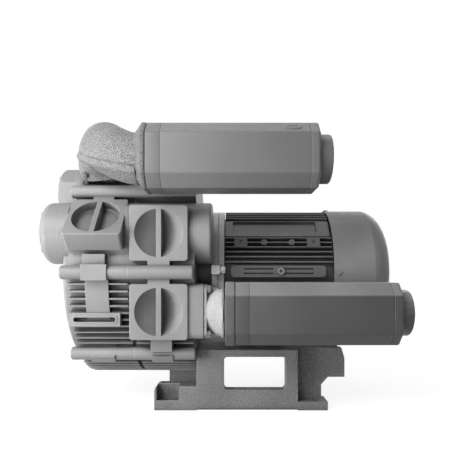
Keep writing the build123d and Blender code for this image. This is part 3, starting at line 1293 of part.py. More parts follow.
base = base_foot()
write("base_foot", base & box_between(-400, 400, -300, -SLAB_Y, -1, 200))
write("base_deck", base & box_between(-400, 400, -SLAB_Y, SLAB_Y, -1, 200))
write("base_far_side", base & box_between(-400, 400, SLAB_Y, 300, -1, 200))
write("base_bolts", base_bolts())
write("left_casing", housing("left"))
write("right_casing", housing("right"))
LEFT_CAP_X = LEFT_X - CAP_OVERHANG
write("transfer_duct_cap", duct_cap(DUCT_ANGLE, LEFT_CAP_X, -1, CAP_LEN))
write("suction_duct_cap", duct_cap(DUCT_ANGLE + SECTOR, LEFT_CAP_X, -1, CAP_LEN))
write("transfer_duct_end", duct_cap(DUCT_ANGLE, RIGHT_X, 1, END_CAP_LEN))
write("duct_cap_screws", cap_screws(DUCT_ANGLE, LEFT_CAP_X, -1, CAP_LEN)
      + cap_screws(DUCT_ANGLE + SECTOR, LEFT_CAP_X, -1, CAP_LEN)
      + cap_screws(DUCT_ANGLE, RIGHT_X, 1, END_CAP_LEN))
write("tie_screws", tie_screws())
write("end_cover", end_cover())
write("channel_ring", channel_ring(CHANNEL_2_X))
write("impeller_stage_1", impeller(IMPELLER_1_X))
write("impeller_stage_2", impeller(IMPELLER_2_X))
write("impeller_spacer", disc(IMPELLER_1_X + IMPELLER_LEN, IMPELLER_2_X - IMPELLER_1_X - IMPELLER_LEN,
                              SPACER_R, SHAFT_R + SEAT_GAP))
write("drive_spacer", disc(IMPELLER_2_X + IMPELLER_LEN, DE_BEARING_X - IMPELLER_2_X - IMPELLER_LEN,
                           SPACER_R, SHAFT_R + SEAT_GAP))
write("impeller_keys", keys())
write("shaft_washer", disc(IMPELLER_1_X - WASHER_LEN, WASHER_LEN, HUB_R - 4.0, SHAFT_R + SEAT_GAP))
write("shaft_nut", shaft_nut())
write("shaft_seals", [disc(x - WEB_THICK, WEB_THICK, SEAL_BORE_R - SEAT_GAP, SPACER_R + SEAL_GAP)
                      for x in (SPLIT_X, RIGHT_X)])
write("motor_shaft", shaft())
for name, place in (("drive_bearing", DE_BEARING_X), ("rear_bearing", NDE_BEARING_X)):
    outer_ring, inner_ring, ball_cage = bearing(place)
    write(name + "_outer", outer_ring)
    write(name + "_inner", inner_ring)
    write(name + "_balls", ball_cage)
write("motor_frame", motor_frame())
write("drive_end_shield", drive_shield())
write("rear_end_shield", rear_shield())
write("rear_bearing_cover", bearing_cover())
write("shield_screws", shield_screws("drive") + shield_screws("rear"))
write("flange_bolts", flange_bolts() + lug_bolts())
write("stator_core", disc(CORE_X, CORE_LEN, FRAME_BORE_R - SEAT_GAP, STATOR_IN_R))
write("stator_windings", windings())
write("rotor_core", disc(CORE_X, CORE_LEN, ROTOR_R, CORE_SEAT_R + SEAT_GAP))
write("cooling_fan", cooling_fan())
write("fan_cowl", fan_cowl())
write("cowl_screws", cowl_screws())
for name, piece in terminal_parts().items():
    write(name, piece)
for name, place in (("suction", UPPER_SIL), ("discharge", LOWER_SIL)):
    for piece_name, piece in silencer(place).items():
        write(name + "_silencer_" + piece_name, piece)
write("suction_elbow", suction_elbow())
write("discharge_elbow", discharge_elbow())
write("elbow_gaskets", [suction_gasket(), discharge_gasket()])
write("elbow_studs", suction_studs() + discharge_studs())
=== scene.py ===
# %% [markdown]
# A side channel blower with its motor, two silencers and a cast base. The solid model already has every
# piece at its real size, so this file only adds looks: finishes for the solids, and finer surfaces where
# the casting is rounder and rougher than a plain solid can be. Everything is in metres. X runs along the
# shaft, Z is up and the origin is on the floor between the four base holes.

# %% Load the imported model
import json
import math
import bpy
import bmesh
import numpy as np
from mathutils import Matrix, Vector


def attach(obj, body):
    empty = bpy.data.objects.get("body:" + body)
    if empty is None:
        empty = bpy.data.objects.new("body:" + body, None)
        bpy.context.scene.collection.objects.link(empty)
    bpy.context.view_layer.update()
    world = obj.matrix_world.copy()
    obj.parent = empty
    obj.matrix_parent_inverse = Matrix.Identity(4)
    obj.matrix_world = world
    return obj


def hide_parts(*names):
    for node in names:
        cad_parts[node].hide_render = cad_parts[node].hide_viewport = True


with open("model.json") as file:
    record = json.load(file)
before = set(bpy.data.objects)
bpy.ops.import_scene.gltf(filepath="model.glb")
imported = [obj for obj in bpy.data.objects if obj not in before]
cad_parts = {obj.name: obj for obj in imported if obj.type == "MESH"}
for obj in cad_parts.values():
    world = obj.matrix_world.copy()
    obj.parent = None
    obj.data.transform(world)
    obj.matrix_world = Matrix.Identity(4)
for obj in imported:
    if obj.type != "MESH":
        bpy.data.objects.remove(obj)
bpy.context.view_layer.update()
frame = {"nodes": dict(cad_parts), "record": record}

NODES = frame["nodes"]
AXIS_Z = 0.355

# %% [markdown]
# The camera comes first, because every later choice is judged through it. The photograph was taken level
# with the shaft, square to it and about 1.4 m away. The picture was cropped afterwards, so the middle of
# the lens isn't the middle of the frame: a small shift does the same here without turning the camera.

# %% Camera
CAMERA_PLACE = (-0.0295, -1.441, 0.352)
FOCAL_PX = 486.0
PICTURE_PX = 450.0
LENS_CENTRE_PX = (230.4, 273.7)
SENSOR_MM = 36.0


def make_camera():
    """A level camera that looks along +Y, with the photograph's field and crop."""
    data = bpy.data.cameras.new("camera")
    data.sensor_width = SENSOR_MM
    data.lens = SENSOR_MM * FOCAL_PX / PICTURE_PX
    data.shift_x = -(LENS_CENTRE_PX[0] - PICTURE_PX / 2) / PICTURE_PX
    data.shift_y = (LENS_CENTRE_PX[1] - PICTURE_PX / 2) / PICTURE_PX
    camera = bpy.data.objects.new("camera", data)
    camera.location = CAMERA_PLACE
    camera.rotation_euler = (math.radians(90), 0, 0)
    bpy.context.collection.objects.link(camera)
    bpy.context.scene.camera = camera
    return camera


camera = make_camera()
print("lens", round(camera.data.lens, 2), "mm")

# %% [markdown]
# The machine stands on a pale studio floor in front of white. The floor is an ordinary pale surface, and
# for camera rays it also glows. The glow grows with the distance from the machine, so that the floor meets
# the white background without a horizon line and still keeps the soft shadow under the base.

# %% Floor, background and lamps
FLOOR_HALF = 30.0
FLOOR_GREY = 0.40
GLOW_FROM, GLOW_TO = 0.6, 2.5
GLOW_NEAR, GLOW_FAR = 0.86, 0.99
WORLD_LIGHT = 0.11
# Where each lamp stands, the point that it faces, its size in metres and its power in watts
LAMPS = {
    "key": ((-1.05, -1.65, 1.4), (-0.15, -0.2, 0.38), 0.9, 28.0),
    "left": ((-1.25, -0.55, 0.55), (-0.35, -0.25, 0.45), 0.5, 3.5),
    "low": ((-1.2, -1.0, 0.15), (-0.3, -0.3, 0.5), 0.5, 18.0),
    "front": ((-0.7, -2.3, 0.4), (-0.2, -0.2, 0.4), 1.0, 6.5),
    "top": ((0.0, 0.1, 2.2), (0.0, 0.0, 0.4), 1.6, 8.0),
    "back": ((1.3, 1.7, 1.2), (0.1, 0.2, 0.35), 1.0, 6.0),
}


def camera_like_rays(tree):
    """One where the camera, a mirror or glass looks straight at something, and zero for light bounces."""
    path = tree.nodes.new("ShaderNodeLightPath")
    kinds = [path.outputs[name + " Ray"] for name in ("Is Camera", "Is Glossy", "Is Transmission")]
    total = kinds[0]
    for kind in kinds[1:]:
        step = tree.nodes.new("ShaderNodeMath")
        step.operation = "MAXIMUM"
        tree.links.new(total, step.inputs[0])
        tree.links.new(kind, step.inputs[1])
        total = step.outputs[0]
    return total


def floor_material():
    """Pale paper that glows towards the camera, more so further out."""
    material = bpy.data.materials.new("studio_floor")
    material.use_nodes = True
    tree = material.node_tree
    tree.nodes.clear()
    out = tree.nodes.new("ShaderNodeOutputMaterial")
    paper = tree.nodes.new("ShaderNodeBsdfDiffuse")
    paper.inputs["Color"].default_value = (FLOOR_GREY, FLOOR_GREY, FLOOR_GREY, 1)
    glow = tree.nodes.new("ShaderNodeEmission")
    glow.inputs["Color"].default_value = (1, 1, 1, 1)
    reach = tree.nodes.new("ShaderNodeVectorMath")
    reach.operation = "LENGTH"
    tree.links.new(tree.nodes.new("ShaderNodeTexCoord").outputs["Object"], reach.inputs[0])
    level = tree.nodes.new("ShaderNodeMapRange")
    glow_span = {"From Min": GLOW_FROM, "From Max": GLOW_TO, "To Min": GLOW_NEAR, "To Max": GLOW_FAR}
    for name, value in glow_span.items():
        level.inputs[name].default_value = value
    tree.links.new(reach.outputs["Value"], level.inputs["Value"])
    strength = tree.nodes.new("ShaderNodeMath")
    strength.operation = "MULTIPLY"
    tree.links.new(camera_like_rays(tree), strength.inputs[0])
    tree.links.new(level.outputs["Result"], strength.inputs[1])
    tree.links.new(strength.outputs[0], glow.inputs["Strength"])
    both = tree.nodes.new("ShaderNodeAddShader")
    tree.links.new(paper.outputs[0], both.inputs[0])
    tree.links.new(glow.outputs[0], both.inputs[1])
    tree.links.new(both.outputs[0], out.inputs["Surface"])
    return material


def make_floor():
    """A large flat square that catches the shadow."""
    mesh = bpy.data.meshes.new("floor")
    h = FLOOR_HALF
    mesh.from_pydata([(-h, -h, 0), (h, -h, 0), (h, h, 0), (-h, h, 0)], [], [(0, 1, 2, 3)])
    floor = bpy.data.objects.new("floor", mesh)
    bpy.context.collection.objects.link(floor)
    mesh.materials.append(floor_material())


def make_world():
    """Grey light from all round, and white where the camera sees past the floor."""
    world = bpy.data.worlds.new("studio")
    bpy.context.scene.world = world
    world.use_nodes = True
    tree = world.node_tree
    tree.nodes.clear()
    out = tree.nodes.new("ShaderNodeOutputWorld")
    fill = tree.nodes.new("ShaderNodeBackground")
    fill.inputs["Color"].default_value = (1, 1, 1, 1)
    fill.inputs["Strength"].default_value = WORLD_LIGHT
    white = tree.nodes.new("ShaderNodeBackground")
    white.inputs["Color"].default_value = (1, 1, 1, 1)
    white.inputs["Strength"].default_value = 1.0
    mix = tree.nodes.new("ShaderNodeMixShader")
    tree.links.new(camera_like_rays(tree), mix.inputs[0])
    tree.links.new(fill.outputs[0], mix.inputs[1])
    tree.links.new(white.outputs[0], mix.inputs[2])
    tree.links.new(mix.outputs[0], out.inputs["Surface"])


def softbox(name, place, aim, size, power):
    """A square lamp that faces a point."""
    data = bpy.data.lights.new(name, "AREA")
    data.size = size
    data.energy = power
    lamp = bpy.data.objects.new(name, data)
    lamp.location = place
    lamp.rotation_euler = (Vector(aim) - Vector(place)).to_track_quat("-Z", "Y").to_euler()
    bpy.context.collection.objects.link(lamp)


make_floor()
make_world()
for name, (place, aim, size, power) in LAMPS.items():
    softbox(name, place, aim, size, power)
bpy.context.scene.view_settings.view_transform = "Standard"

# %% [markdown]
# Nearly all of the machine is grey paint over cast metal. A finish like that is five things together: a
# base tone that wanders a little, a fine grain from the sand mould, a painted highlight along the edges,
# painted shade in corners and between fins, and on some pieces painted light on whatever faces up. One
# function makes all the greys, and each finish gets its own amounts, so the family look stays the same.

# %% Paint on cast or pressed metal
# How far the painted shade in corners reaches, and the occlusion at which it is deepest and at which it
# stops
CORNER_REACH = 0.030
CORNER_DEEP, CORNER_OPEN = 0.25, 0.85
# Where the painted highlight on edges is full and where it stops
EDGE_SHARP, EDGE_FLAT = 0.80, 0.995
CLOUD_SCALE = 9.0
SHINE_SCALE = 60.0
PAINT_SPECULAR = 0.35


def link(tree, a, b):
    tree.links.new(a, b)


def noise(tree, where, scale, detail=2.0, rough=0.5):
    """A noise texture at the given scale, in ridges per metre."""
    node = tree.nodes.new("ShaderNodeTexNoise")
    node.inputs["Scale"].default_value = scale
    node.inputs["Detail"].default_value = detail
    node.inputs["Roughness"].default_value = rough
    link(tree, where, node.inputs["Vector"])
    return node.outputs["Fac"]


def span(tree, value, low, high, from_low=0.3, from_high=0.7):
    """The value carried from one span to another."""
    node = tree.nodes.new("ShaderNodeMapRange")
    node.inputs["From Min"].default_value = from_low
    node.inputs["From Max"].default_value = from_high
    node.inputs["To Min"].default_value = low
    node.inputs["To Max"].default_value = high
    link(tree, value, node.inputs["Value"])
    return node.outputs["Result"]


def maths(tree, operation, a, b):
    """One sum on two values, each a number or a socket."""
    node = tree.nodes.new("ShaderNodeMath")
    node.operation = operation
    for slot, value in ((0, a), (1, b)):
        if isinstance(value, (int, float)):
            node.inputs[slot].default_value = value
        else:
            link(tree, value, node.inputs[slot])
    return node.outputs[0]


def grey_of(tree, value):
    """A grey colour from one value."""
    node = tree.nodes.new("ShaderNodeCombineColor")
    for channel in range(3):
        link(tree, value, node.inputs[channel])
    return node.outputs[0]


def edge_light(tree, rounded):
    """Near one on edges: how far the rounded normal leans away from the true one."""
    geometry = tree.nodes.new("ShaderNodeNewGeometry")
    dot = tree.nodes.new("ShaderNodeVectorMath")
    dot.operation = "DOT_PRODUCT"
    link(tree, rounded, dot.inputs[0])
    link(tree, geometry.outputs["Normal"], dot.inputs[1])
    return span(tree, dot.outputs["Value"], 1.0, 0.0, EDGE_SHARP, EDGE_FLAT)


def up_facing(tree):
    """One on faces that look straight up, zero on upright ones and those that look down."""
    geometry = tree.nodes.new("ShaderNodeNewGeometry")
    parts = tree.nodes.new("ShaderNodeSeparateXYZ")
    link(tree, geometry.outputs["True Normal"], parts.inputs[0])
    return maths(tree, "MAXIMUM", parts.outputs["Z"], 0.0)


def corners(tree, corner_shade):
    """One in the open and darker in corners and between fins: painted shade from ambient occlusion."""
    hollow = tree.nodes.new("ShaderNodeAmbientOcclusion")
    hollow.samples = 6
    hollow.inputs["Distance"].default_value = CORNER_REACH
    return span(tree, hollow.outputs["AO"], 1 - corner_shade, 1.0, CORNER_DEEP, CORNER_OPEN)


def paint(name, tone, grain_mm, grain_height, gloss, wander, edge_mm, edge_highlight, speck, top_light_amount, corner_shade):
    """Grey paint. The grain is the sand's, and wander and speck vary the tone. A painted highlight
    brightens the edges, painted light brightens faces that look up, and painted shade darkens corners.
    """
    material = bpy.data.materials.new(name)
    material.use_nodes = True
    tree = material.node_tree
    shader = tree.nodes["Principled BSDF"]
    where = tree.nodes.new("ShaderNodeTexCoord").outputs["Object"]
    bevel = tree.nodes.new("ShaderNodeBevel")
    bevel.samples = 4
    bevel.inputs["Radius"].default_value = edge_mm / 1000
    clouds = span(tree, noise(tree, where, CLOUD_SCALE, 3.0), 1 - wander, 1 + wander)
    specks = span(tree, noise(tree, where, 1000 / grain_mm, 1.0), 1 - speck, 1 + speck)
    # A painted highlight along the edges
    edges = maths(tree, "MULTIPLY", edge_light(tree, bevel.outputs["Normal"]), edge_highlight)
    value = maths(tree, "MULTIPLY", maths(tree, "MULTIPLY", clouds, specks), tone)
    value = maths(tree, "MULTIPLY", value, maths(tree, "ADD", edges, 1.0))
    # Painted shade in corners and between fins
    value = maths(tree, "MULTIPLY", value, corners(tree, corner_shade))
    # Painted light on faces that look up
    if top_light_amount:
        painted_top_light = maths(tree, "MULTIPLY", up_facing(tree), top_light_amount)
        value = maths(tree, "MULTIPLY", value, maths(tree, "ADD", painted_top_light, 1.0))
    shader.inputs["Specular IOR Level"].default_value = PAINT_SPECULAR
    link(tree, grey_of(tree, value), shader.inputs["Base Color"])
    shine = span(tree, noise(tree, where, SHINE_SCALE, 3.0), gloss - 0.07, gloss + 0.09)
    link(tree, shine, shader.inputs["Roughness"])
    bump = tree.nodes.new("ShaderNodeBump")
    bump.inputs["Distance"].default_value = grain_height
    bump.inputs["Strength"].default_value = 1.0
    link(tree, noise(tree, where, 1000 / grain_mm, 2.0, 0.6), bump.inputs["Height"])
    link(tree, bevel.outputs["Normal"], bump.inputs["Normal"])
    link(tree, bump.outputs["Normal"], shader.inputs["Normal"])
    return material


# Tone, grain in mm, height of the grain in m, gloss, wander, edge in mm, painted edge highlight, speck,
# painted top light and painted corner shade
PAINTS = {
    "cast_base_paint": (0.20, 2.6, 0.0030, 0.46, 0.16, 4.0, 0.7, 0.45, 0.0, 0.50),
    "cast_paint": (0.25, 2.4, 0.0045, 0.38, 0.12, 2.5, 0.3, 0.60, 0.0, 0.50),
    # A lighter copy of the cast paint: painted light on the discharge elbow
    "lit_cast_paint": (0.48, 2.4, 0.0030, 0.40, 0.12, 2.5, 0.3, 0.35, 0.0, 0.50),
    "shield_paint": (0.70, 3.0, 0.0010, 0.42, 0.12, 2.5, 0.3, 0.15, 0.0, 0.50),
    "cap_paint": (0.18, 2.4, 0.0035, 0.38, 0.12, 2.5, 0.3, 0.45, 0.0, 0.50),
    # A darker copy with painted light on faces that look up: painted shade on the discharge silencer's cap
    "shaded_cap_lit_top": (0.11, 2.4, 0.0015, 0.40, 0.10, 2.0, 0.4, 0.20, 1.8, 0.30),
    "casing_paint": (0.25, 1.6, 0.0002, 0.42, 0.10, 1.4, 1.0, 0.06, 0.0, 0.75),
    "silencer_paint": (0.165, 1.2, 0.00008, 0.40, 0.06, 1.5, 0.5, 0.06, 0.0, 0.30),
    # A darker copy of the silencer paint with painted light on faces that look up: painted shade on the
    # discharge silencer
    "shaded_paint_lit_top": (0.070, 1.2, 0.00008, 0.40, 0.08, 1.5, 0.8, 0.06, 3.2, 0.30),
    "motor_paint": (0.12, 1.4, 0.0001, 0.36, 0.14, 0.9, 2.6, 0.06, 0.0, 0.75),
    "cowl_paint": (0.24, 1.2, 0.00006, 0.42, 0.08, 1.0, 0.3, 0.06, 0.0, 0.50),
}
FINISHES = {name: paint(name, *amounts) for name, amounts in PAINTS.items()}

# %% [markdown]
# The rest is bare metal, copper, rubber, plastic and foam. Turned and plated steel shows fine lines round
# its axis and a little tarnish, so its roughness and tone come from a stretched noise. The dark soft
# materials need only a fine bump and a slight wander of tone.

# %% Bare metal and dark soft materials
MIX_FIRST, MIX_SECOND, MIX_RESULT = 6, 7, 2


def bare_metal(name, colour, gloss, stretch=12.0):
    """Metal with fine tool lines across X and a slight tarnish."""
    material = bpy.data.materials.new(name)
    material.use_nodes = True
    tree = material.node_tree
    shader = tree.nodes["Principled BSDF"]
    shader.inputs["Metallic"].default_value = 1.0
    where = tree.nodes.new("ShaderNodeTexCoord").outputs["Object"]
    along = tree.nodes.new("ShaderNodeMapping")
    along.inputs["Scale"].default_value = (stretch, 1.0, 1.0)
    link(tree, where, along.inputs["Vector"])
    lines = noise(tree, along.outputs["Vector"], 90.0, 3.0)
    tarnish = tree.nodes.new("ShaderNodeMix")
    tarnish.data_type = "RGBA"
    link(tree, span(tree, noise(tree, where, 40.0), 0.0, 1.0), tarnish.inputs[0])
    tarnish.inputs[MIX_FIRST].default_value = (*[0.8 * c for c in colour], 1)
    tarnish.inputs[MIX_SECOND].default_value = (*colour, 1)
    link(tree, tarnish.outputs[MIX_RESULT], shader.inputs["Base Color"])
    link(tree, span(tree, lines, gloss - 0.08, gloss + 0.12), shader.inputs["Roughness"])
    bump = tree.nodes.new("ShaderNodeBump")
    bump.inputs["Distance"].default_value = 0.00005
    link(tree, lines, bump.inputs["Height"])
    link(tree, bump.outputs["Normal"], shader.inputs["Normal"])
    return material


def dull(name, colour, gloss, grain_mm, height):
    """Rubber, plastic or foam with an even fine grain."""
    material = bpy.data.materials.new(name)
    material.use_nodes = True
    tree = material.node_tree
    shader = tree.nodes["Principled BSDF"]
    where = tree.nodes.new("ShaderNodeTexCoord").outputs["Object"]
    grain = noise(tree, where, 1000 / grain_mm)
    value = span(tree, noise(tree, where, 30.0), 0.85 * colour, 1.15 * colour)
    link(tree, grey_of(tree, value), shader.inputs["Base Color"])
    link(tree, span(tree, grain, gloss - 0.08, gloss + 0.08), shader.inputs["Roughness"])
    bump = tree.nodes.new("ShaderNodeBump")
    bump.inputs["Distance"].default_value = height
    link(tree, grain, bump.inputs["Height"])
    link(tree, bump.outputs["Normal"], shader.inputs["Normal"])
    return material


FINISHES.update({
    "bare_aluminium": bare_metal("bare_aluminium", (0.62, 0.62, 0.63), 0.38),
    "bright_steel": bare_metal("bright_steel", (0.45, 0.45, 0.45), 0.35),
    "core_steel": bare_metal("core_steel", (0.22, 0.22, 0.23), 0.5, stretch=80.0),
    "copper": bare_metal("copper", (0.60, 0.24, 0.11), 0.35),
    "black_rubber": dull("black_rubber", 0.012, 0.7, 0.8, 0.0001),
    "black_plastic": dull("black_plastic", 0.02, 0.5, 0.6, 0.00006),
    "acoustic_foam": dull("acoustic_foam", 0.05, 0.9, 3.0, 0.002),
})

# %% [markdown]
# Every node of the solid model names a material slot in its record, so the finishes above reach all of
# them in one loop. Screws and nuts that were painted over take the paint of the piece that they sit in.
# A few castings have a lighter or darker tone of their own, and the discharge elbow and silencer take a
# lit copy and shaded copies of the paints: painted light and painted shade.

# %% Give each node its finish
OWN_FINISH = {
    "drive_end_shield": "shield_paint",
    "flange_bolts": "shield_paint",
    "duct_cap_screws": "casing_paint",
    "tie_screws": "casing_paint",
    "elbow_studs": "cast_paint",
    "cowl_screws": "cowl_paint",
    # The discharge elbow takes a lighter copy of the cast paint and the discharge silencer darker copies of
    # the silencer paint: painted light and painted shade
    "discharge_elbow": "lit_cast_paint",
    "discharge_silencer_inlet_cap": "shaded_cap_lit_top",
    "discharge_silencer_collar": "shaded_paint_lit_top",
    "discharge_silencer_shell": "shaded_paint_lit_top",
    "discharge_silencer_end_cap": "shaded_paint_lit_top",
    "suction_silencer_inlet_cap": "cap_paint",
}


def finish_nodes():
    """Puts one finish on each node: its own, or else the one of the slot that the record gives it."""
    for part in frame["record"]["subparts"]:
        name = part["node"]
        finish = FINISHES[OWN_FINISH.get(name, part["material_slot"])]
        mesh = NODES[name].data
        mesh.materials.clear()
        mesh.materials.append(finish)


finish_nodes()

# %% [markdown]
# New pieces are surfaces worked out as whole arrays: a ring of points is carried from one station to the
# next, and the rings are joined with four-sided faces. A shell that closes on itself both ways has no
# open edge, and a piece may be made of several such shells, as a casting with a flange is.

# %% From grids of points to a piece
SHARP_DEGREES = 32.0


def shell_faces(rings, points, start):
    """Four-sided faces that join each ring to the next, and the last to the first."""
    i = np.arange(rings)[:, None]
    j = np.arange(points)[None, :]
    ahead, beside = (i + 1) % rings, (j + 1) % points
    quads = [i * points + j, i * points + beside, ahead * points + beside, ahead * points + j]
    return np.stack(quads, axis=-1).reshape(-1, 4) + start


def piece(name, node, shells, stands_in=True):
    """One object of closed shells, in the node's finish. It replaces the node unless stands_in is False."""
    places, faces, start = [], [], 0
    for grid in shells:
        places.append(grid.reshape(-1, 3))
        faces.append(shell_faces(*grid.shape[:2], start))
        start += len(places[-1])
    mesh = bpy.data.meshes.new(name)
    mesh.from_pydata(np.concatenate(places).tolist(), [], np.concatenate(faces).tolist())
    work = bmesh.new()
    work.from_mesh(mesh)
    bmesh.ops.recalc_face_normals(work, faces=work.faces)
    work.to_mesh(mesh)
    work.free()
    mesh.polygons.foreach_set("use_smooth", np.ones(len(mesh.polygons), dtype=bool))
    mesh.set_sharp_from_angle(angle=math.radians(SHARP_DEGREES))
    mesh.materials.append(NODES[node].data.materials[0])
    made = bpy.data.objects.new(name, mesh)
    bpy.context.collection.objects.link(made)
    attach(made, "root")
    if stands_in:
        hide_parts(node)
    return made

# %% [markdown]
# Each silencer is an eight sided tube. Sheet metal folds over a small radius and a cast cap has soft
# corners, and that radius carries the thin bright line along each fold. The outline is an eight sided
# shape with its corners rounded. A station along the tube says how far the outline is drawn in and how
# far it has already turned into a circle, so one formula makes the cap that grows out of the round elbow,
# the body, and the end with its round nozzle.

# %% The silencers' outline
SIL_HALF_Y = 0.0699
SIL_HALF_Z = 0.0733
SIL_SLANT = 0.08074
SIL_CORNER = 0.006
SIL_CORNER_LEAST = 0.0015
CORNER_STEPS = 6
SIDE_STEPS = 3
NOZZLE_R = 0.056
NOZZLE_BORE_R = 0.050


def eight_sided(inset):
    """Rounded eight sided ring: y = sy a + r cos t, z = sz b + r sin t round each of the eight corners."""
    keep = max(SIL_CORNER - inset, SIL_CORNER_LEAST)
    a, b, d = SIL_HALF_Y - inset - keep, SIL_HALF_Z - inset - keep, SIL_SLANT - inset - keep
    root2 = math.sqrt(2)
    pair = [(a, root2 * d - a), (root2 * d - b, b)]
    ring = []
    for turn, (sy, sz) in enumerate([(1, 1), (-1, 1), (-1, -1), (1, -1)]):
        corners = pair if sy * sz > 0 else pair[::-1]
        for step, (y, z) in enumerate(corners):
            angle = math.radians(90 * turn + 45 * step) + np.linspace(0, math.radians(45), CORNER_STEPS)
            ring.append(np.stack([sy * y + keep * np.cos(angle), sz * z + keep * np.sin(angle)], axis=-1))
    return with_side_points(np.concatenate(ring))


def with_side_points(ring):
    """Adds points along the flat sides, so that a side can curve where it turns into a circle."""
    sides = []
    for start in range(0, len(ring), CORNER_STEPS):
        corner = ring[start:start + CORNER_STEPS]
        beyond = ring[(start + CORNER_STEPS) % len(ring)]
        part = np.arange(1, SIDE_STEPS + 1)[:, None] / (SIDE_STEPS + 1)
        sides += [corner, corner[-1] * (1 - part) + beyond * part]
    return np.concatenate(sides)


def silencer_rings(centre, profile, lean=0.0):
    """Rings along X from stations of x, inset, roundness and circle radius. Lean tilts the round ones."""
    rings = []
    for x, inset, roundness, radius in profile:
        flat = eight_sided(inset)
        circle = flat / np.linalg.norm(flat, axis=1, keepdims=True) * radius
        flat = flat * (1 - roundness) + circle * roundness
        along = x - lean * roundness * (0.5 + 0.5 * flat[:, 1] / SIL_HALF_Z)
        rings.append(np.column_stack([along, flat]))
    return np.array(rings) + np.array(centre)

# %% [markdown]
# A rounded edge is a few stations on a quarter circle. Body and collar are hollow: the profile runs along
# the outside, turns in at the end and comes back along the inside. The cap at the elbow is cast, a little
# larger than the sheet it covers, and its shadow makes the dark groove. The upper cap swells from the elbow
# in an S and leans, the lower one is nearly flat: both amounts are given for each silencer. The far end is
# flat with a rounded edge, and its nozzle has a rolled rim. The upper silencer also carries a small badge.

# %% Build both silencers
SHEET = 0.003
SILENCERS = {"suction": (-0.242, -0.3166, 0.6159), "discharge": (-0.044, -0.2665, 0.258)}
# Length of the cap's S and how far its round end leans
INLET_CAPS = {"suction": (0.016, 0.013), "discharge": (0.003, 0.0)}
CAP_NECK_R = 0.0575
CAP_NECK_INSET = 0.014
CAP_PROUD = 0.001
CAP_BACK = 0.0258
CAP_END = 0.026
COLLAR_END = 0.0585
BODY_END = 0.3885
HEAD_END = 0.4105
NOZZLE_END = 0.4415
HEAD_ROUND = 0.007
RIM_ROUND = 0.005
SHEET_EDGE = 0.0011
BADGE_X = 0.3515
BADGE_RISE = 0.0015
BADGE_HALF_LENGTH = 0.019
BADGE_HALF_HEIGHT = 0.006


def sleeve(x0, x1):
    """A hollow sleeve from x0 to x1 with rounded outer edges."""
    angle = np.linspace(0, math.pi / 2, 5)
    low = [(x0 + SHEET_EDGE * (1 - math.cos(a)), SHEET_EDGE * (1 - math.sin(a)), 0, 1) for a in angle]
    high = [(x0 + x1 - station[0], *station[1:]) for station in low[::-1]]
    return low + high + [(x1, SHEET, 0, 1), (x0, SHEET, 0, 1)]


def badge(centre):
    """A bare oval plate with a raised rim on the upper front facet. Steps: height, share of the outline."""
    angle = np.linspace(0, 2 * math.pi, 48, endpoint=False)
    slant = math.sqrt(0.5)
    slope, up = np.array([0, -slant, slant]), np.array([0, slant, slant])
    middle = np.array(centre) + np.array([BADGE_X, 0, 0]) + slope * SIL_SLANT + up * BADGE_RISE
    oval = BADGE_HALF_LENGTH * np.cos(angle)[:, None] * np.array([1.0, 0, 0])
    oval = oval + BADGE_HALF_HEIGHT * np.sin(angle)[:, None] * up
    steps = [(-0.0005, 1.0), (0.0012, 1.0), (0.0015, 0.96), (0.0015, 0.86), (0.0007, 0.80), (0.0007, 0.02),
             (-0.0005, 0.02)]
    return np.array([middle + size * oval + height * slope for height, size in steps])


def inlet_cap_profile(length):
    """An S of the given length from the elbow's round end to the full section, then a lip that is proud."""
    taper = []
    for t in np.linspace(0, 1, 13):
        roundness = 1 - t * t * (3 - 2 * t)
        taper.append((length * t, CAP_NECK_INSET * roundness - CAP_PROUD, roundness, CAP_NECK_R))
    lip = [(0.0215, -CAP_PROUD, 0, 1), (0.0238, -0.0004, 0, 1), (0.0252, 0.0010, 0, 1),
           (CAP_BACK, 0.0030, 0, 1)]
    return taper + lip + [(CAP_BACK, 0.0, 1, NOZZLE_BORE_R), (0.0, 0.0, 1, NOZZLE_BORE_R)]


def end_cap_profile():
    """Full section, a rounded edge, the flat end, the nozzle with its rim, and the bore."""
    start = HEAD_END - HEAD_ROUND
    turn = np.linspace(0, math.pi / 2, 11)
    head = [(start + HEAD_ROUND * math.sin(a), HEAD_ROUND * (1 - math.cos(a)), 0, 1) for a in turn]
    head.append((HEAD_END, HEAD_ROUND + 0.002, 0.3, 0.062))
    root = [(HEAD_END + 0.0008, 0, 1, 0.0567), (HEAD_END + 0.003, 0, 1, NOZZLE_R)]
    rim_start = NOZZLE_END - RIM_ROUND
    rim = [(rim_start + RIM_ROUND * math.sin(a), 0, 1, NOZZLE_R - RIM_ROUND * (1 - math.cos(a)))
           for a in turn[::2]]
    bore = [(NOZZLE_END, 0, 1, NOZZLE_BORE_R), (BODY_END, 0, 1, NOZZLE_BORE_R)]
    return [(BODY_END + 0.0002, 0.0008, 0, 1), (BODY_END + 0.0012, 0, 0, 1)] + head + root + rim + bore


for side, centre in SILENCERS.items():
    cap_length, lean = INLET_CAPS[side]
    profiles = {"inlet_cap": inlet_cap_profile(cap_length), "collar": sleeve(CAP_END, COLLAR_END),
                "shell": sleeve(COLLAR_END, BODY_END), "end_cap": end_cap_profile()}
    for name, profile in profiles.items():
        node = side + "_silencer_" + name
        tilt = lean if name == "inlet_cap" else 0.0
        shells = [silencer_rings(centre, profile, tilt)]
        if node == "suction_silencer_shell":
            shells.append(badge(centre))
        made = piece(node + "_skin", node, shells)
        print(made.name, len(made.data.polygons), "faces")

# %% [markdown]
# An elbow is a round tube carried along a curve, and the ring at each station stands square to it. The
# radius is a function of the place along the tube and of the angle round it, so the wide foot, the hollows
# of the bend and the shallow lumps that the sand left are all terms of one sum.

# %% Elbow curves and rings
PLATE_CORNER_STEPS = 8


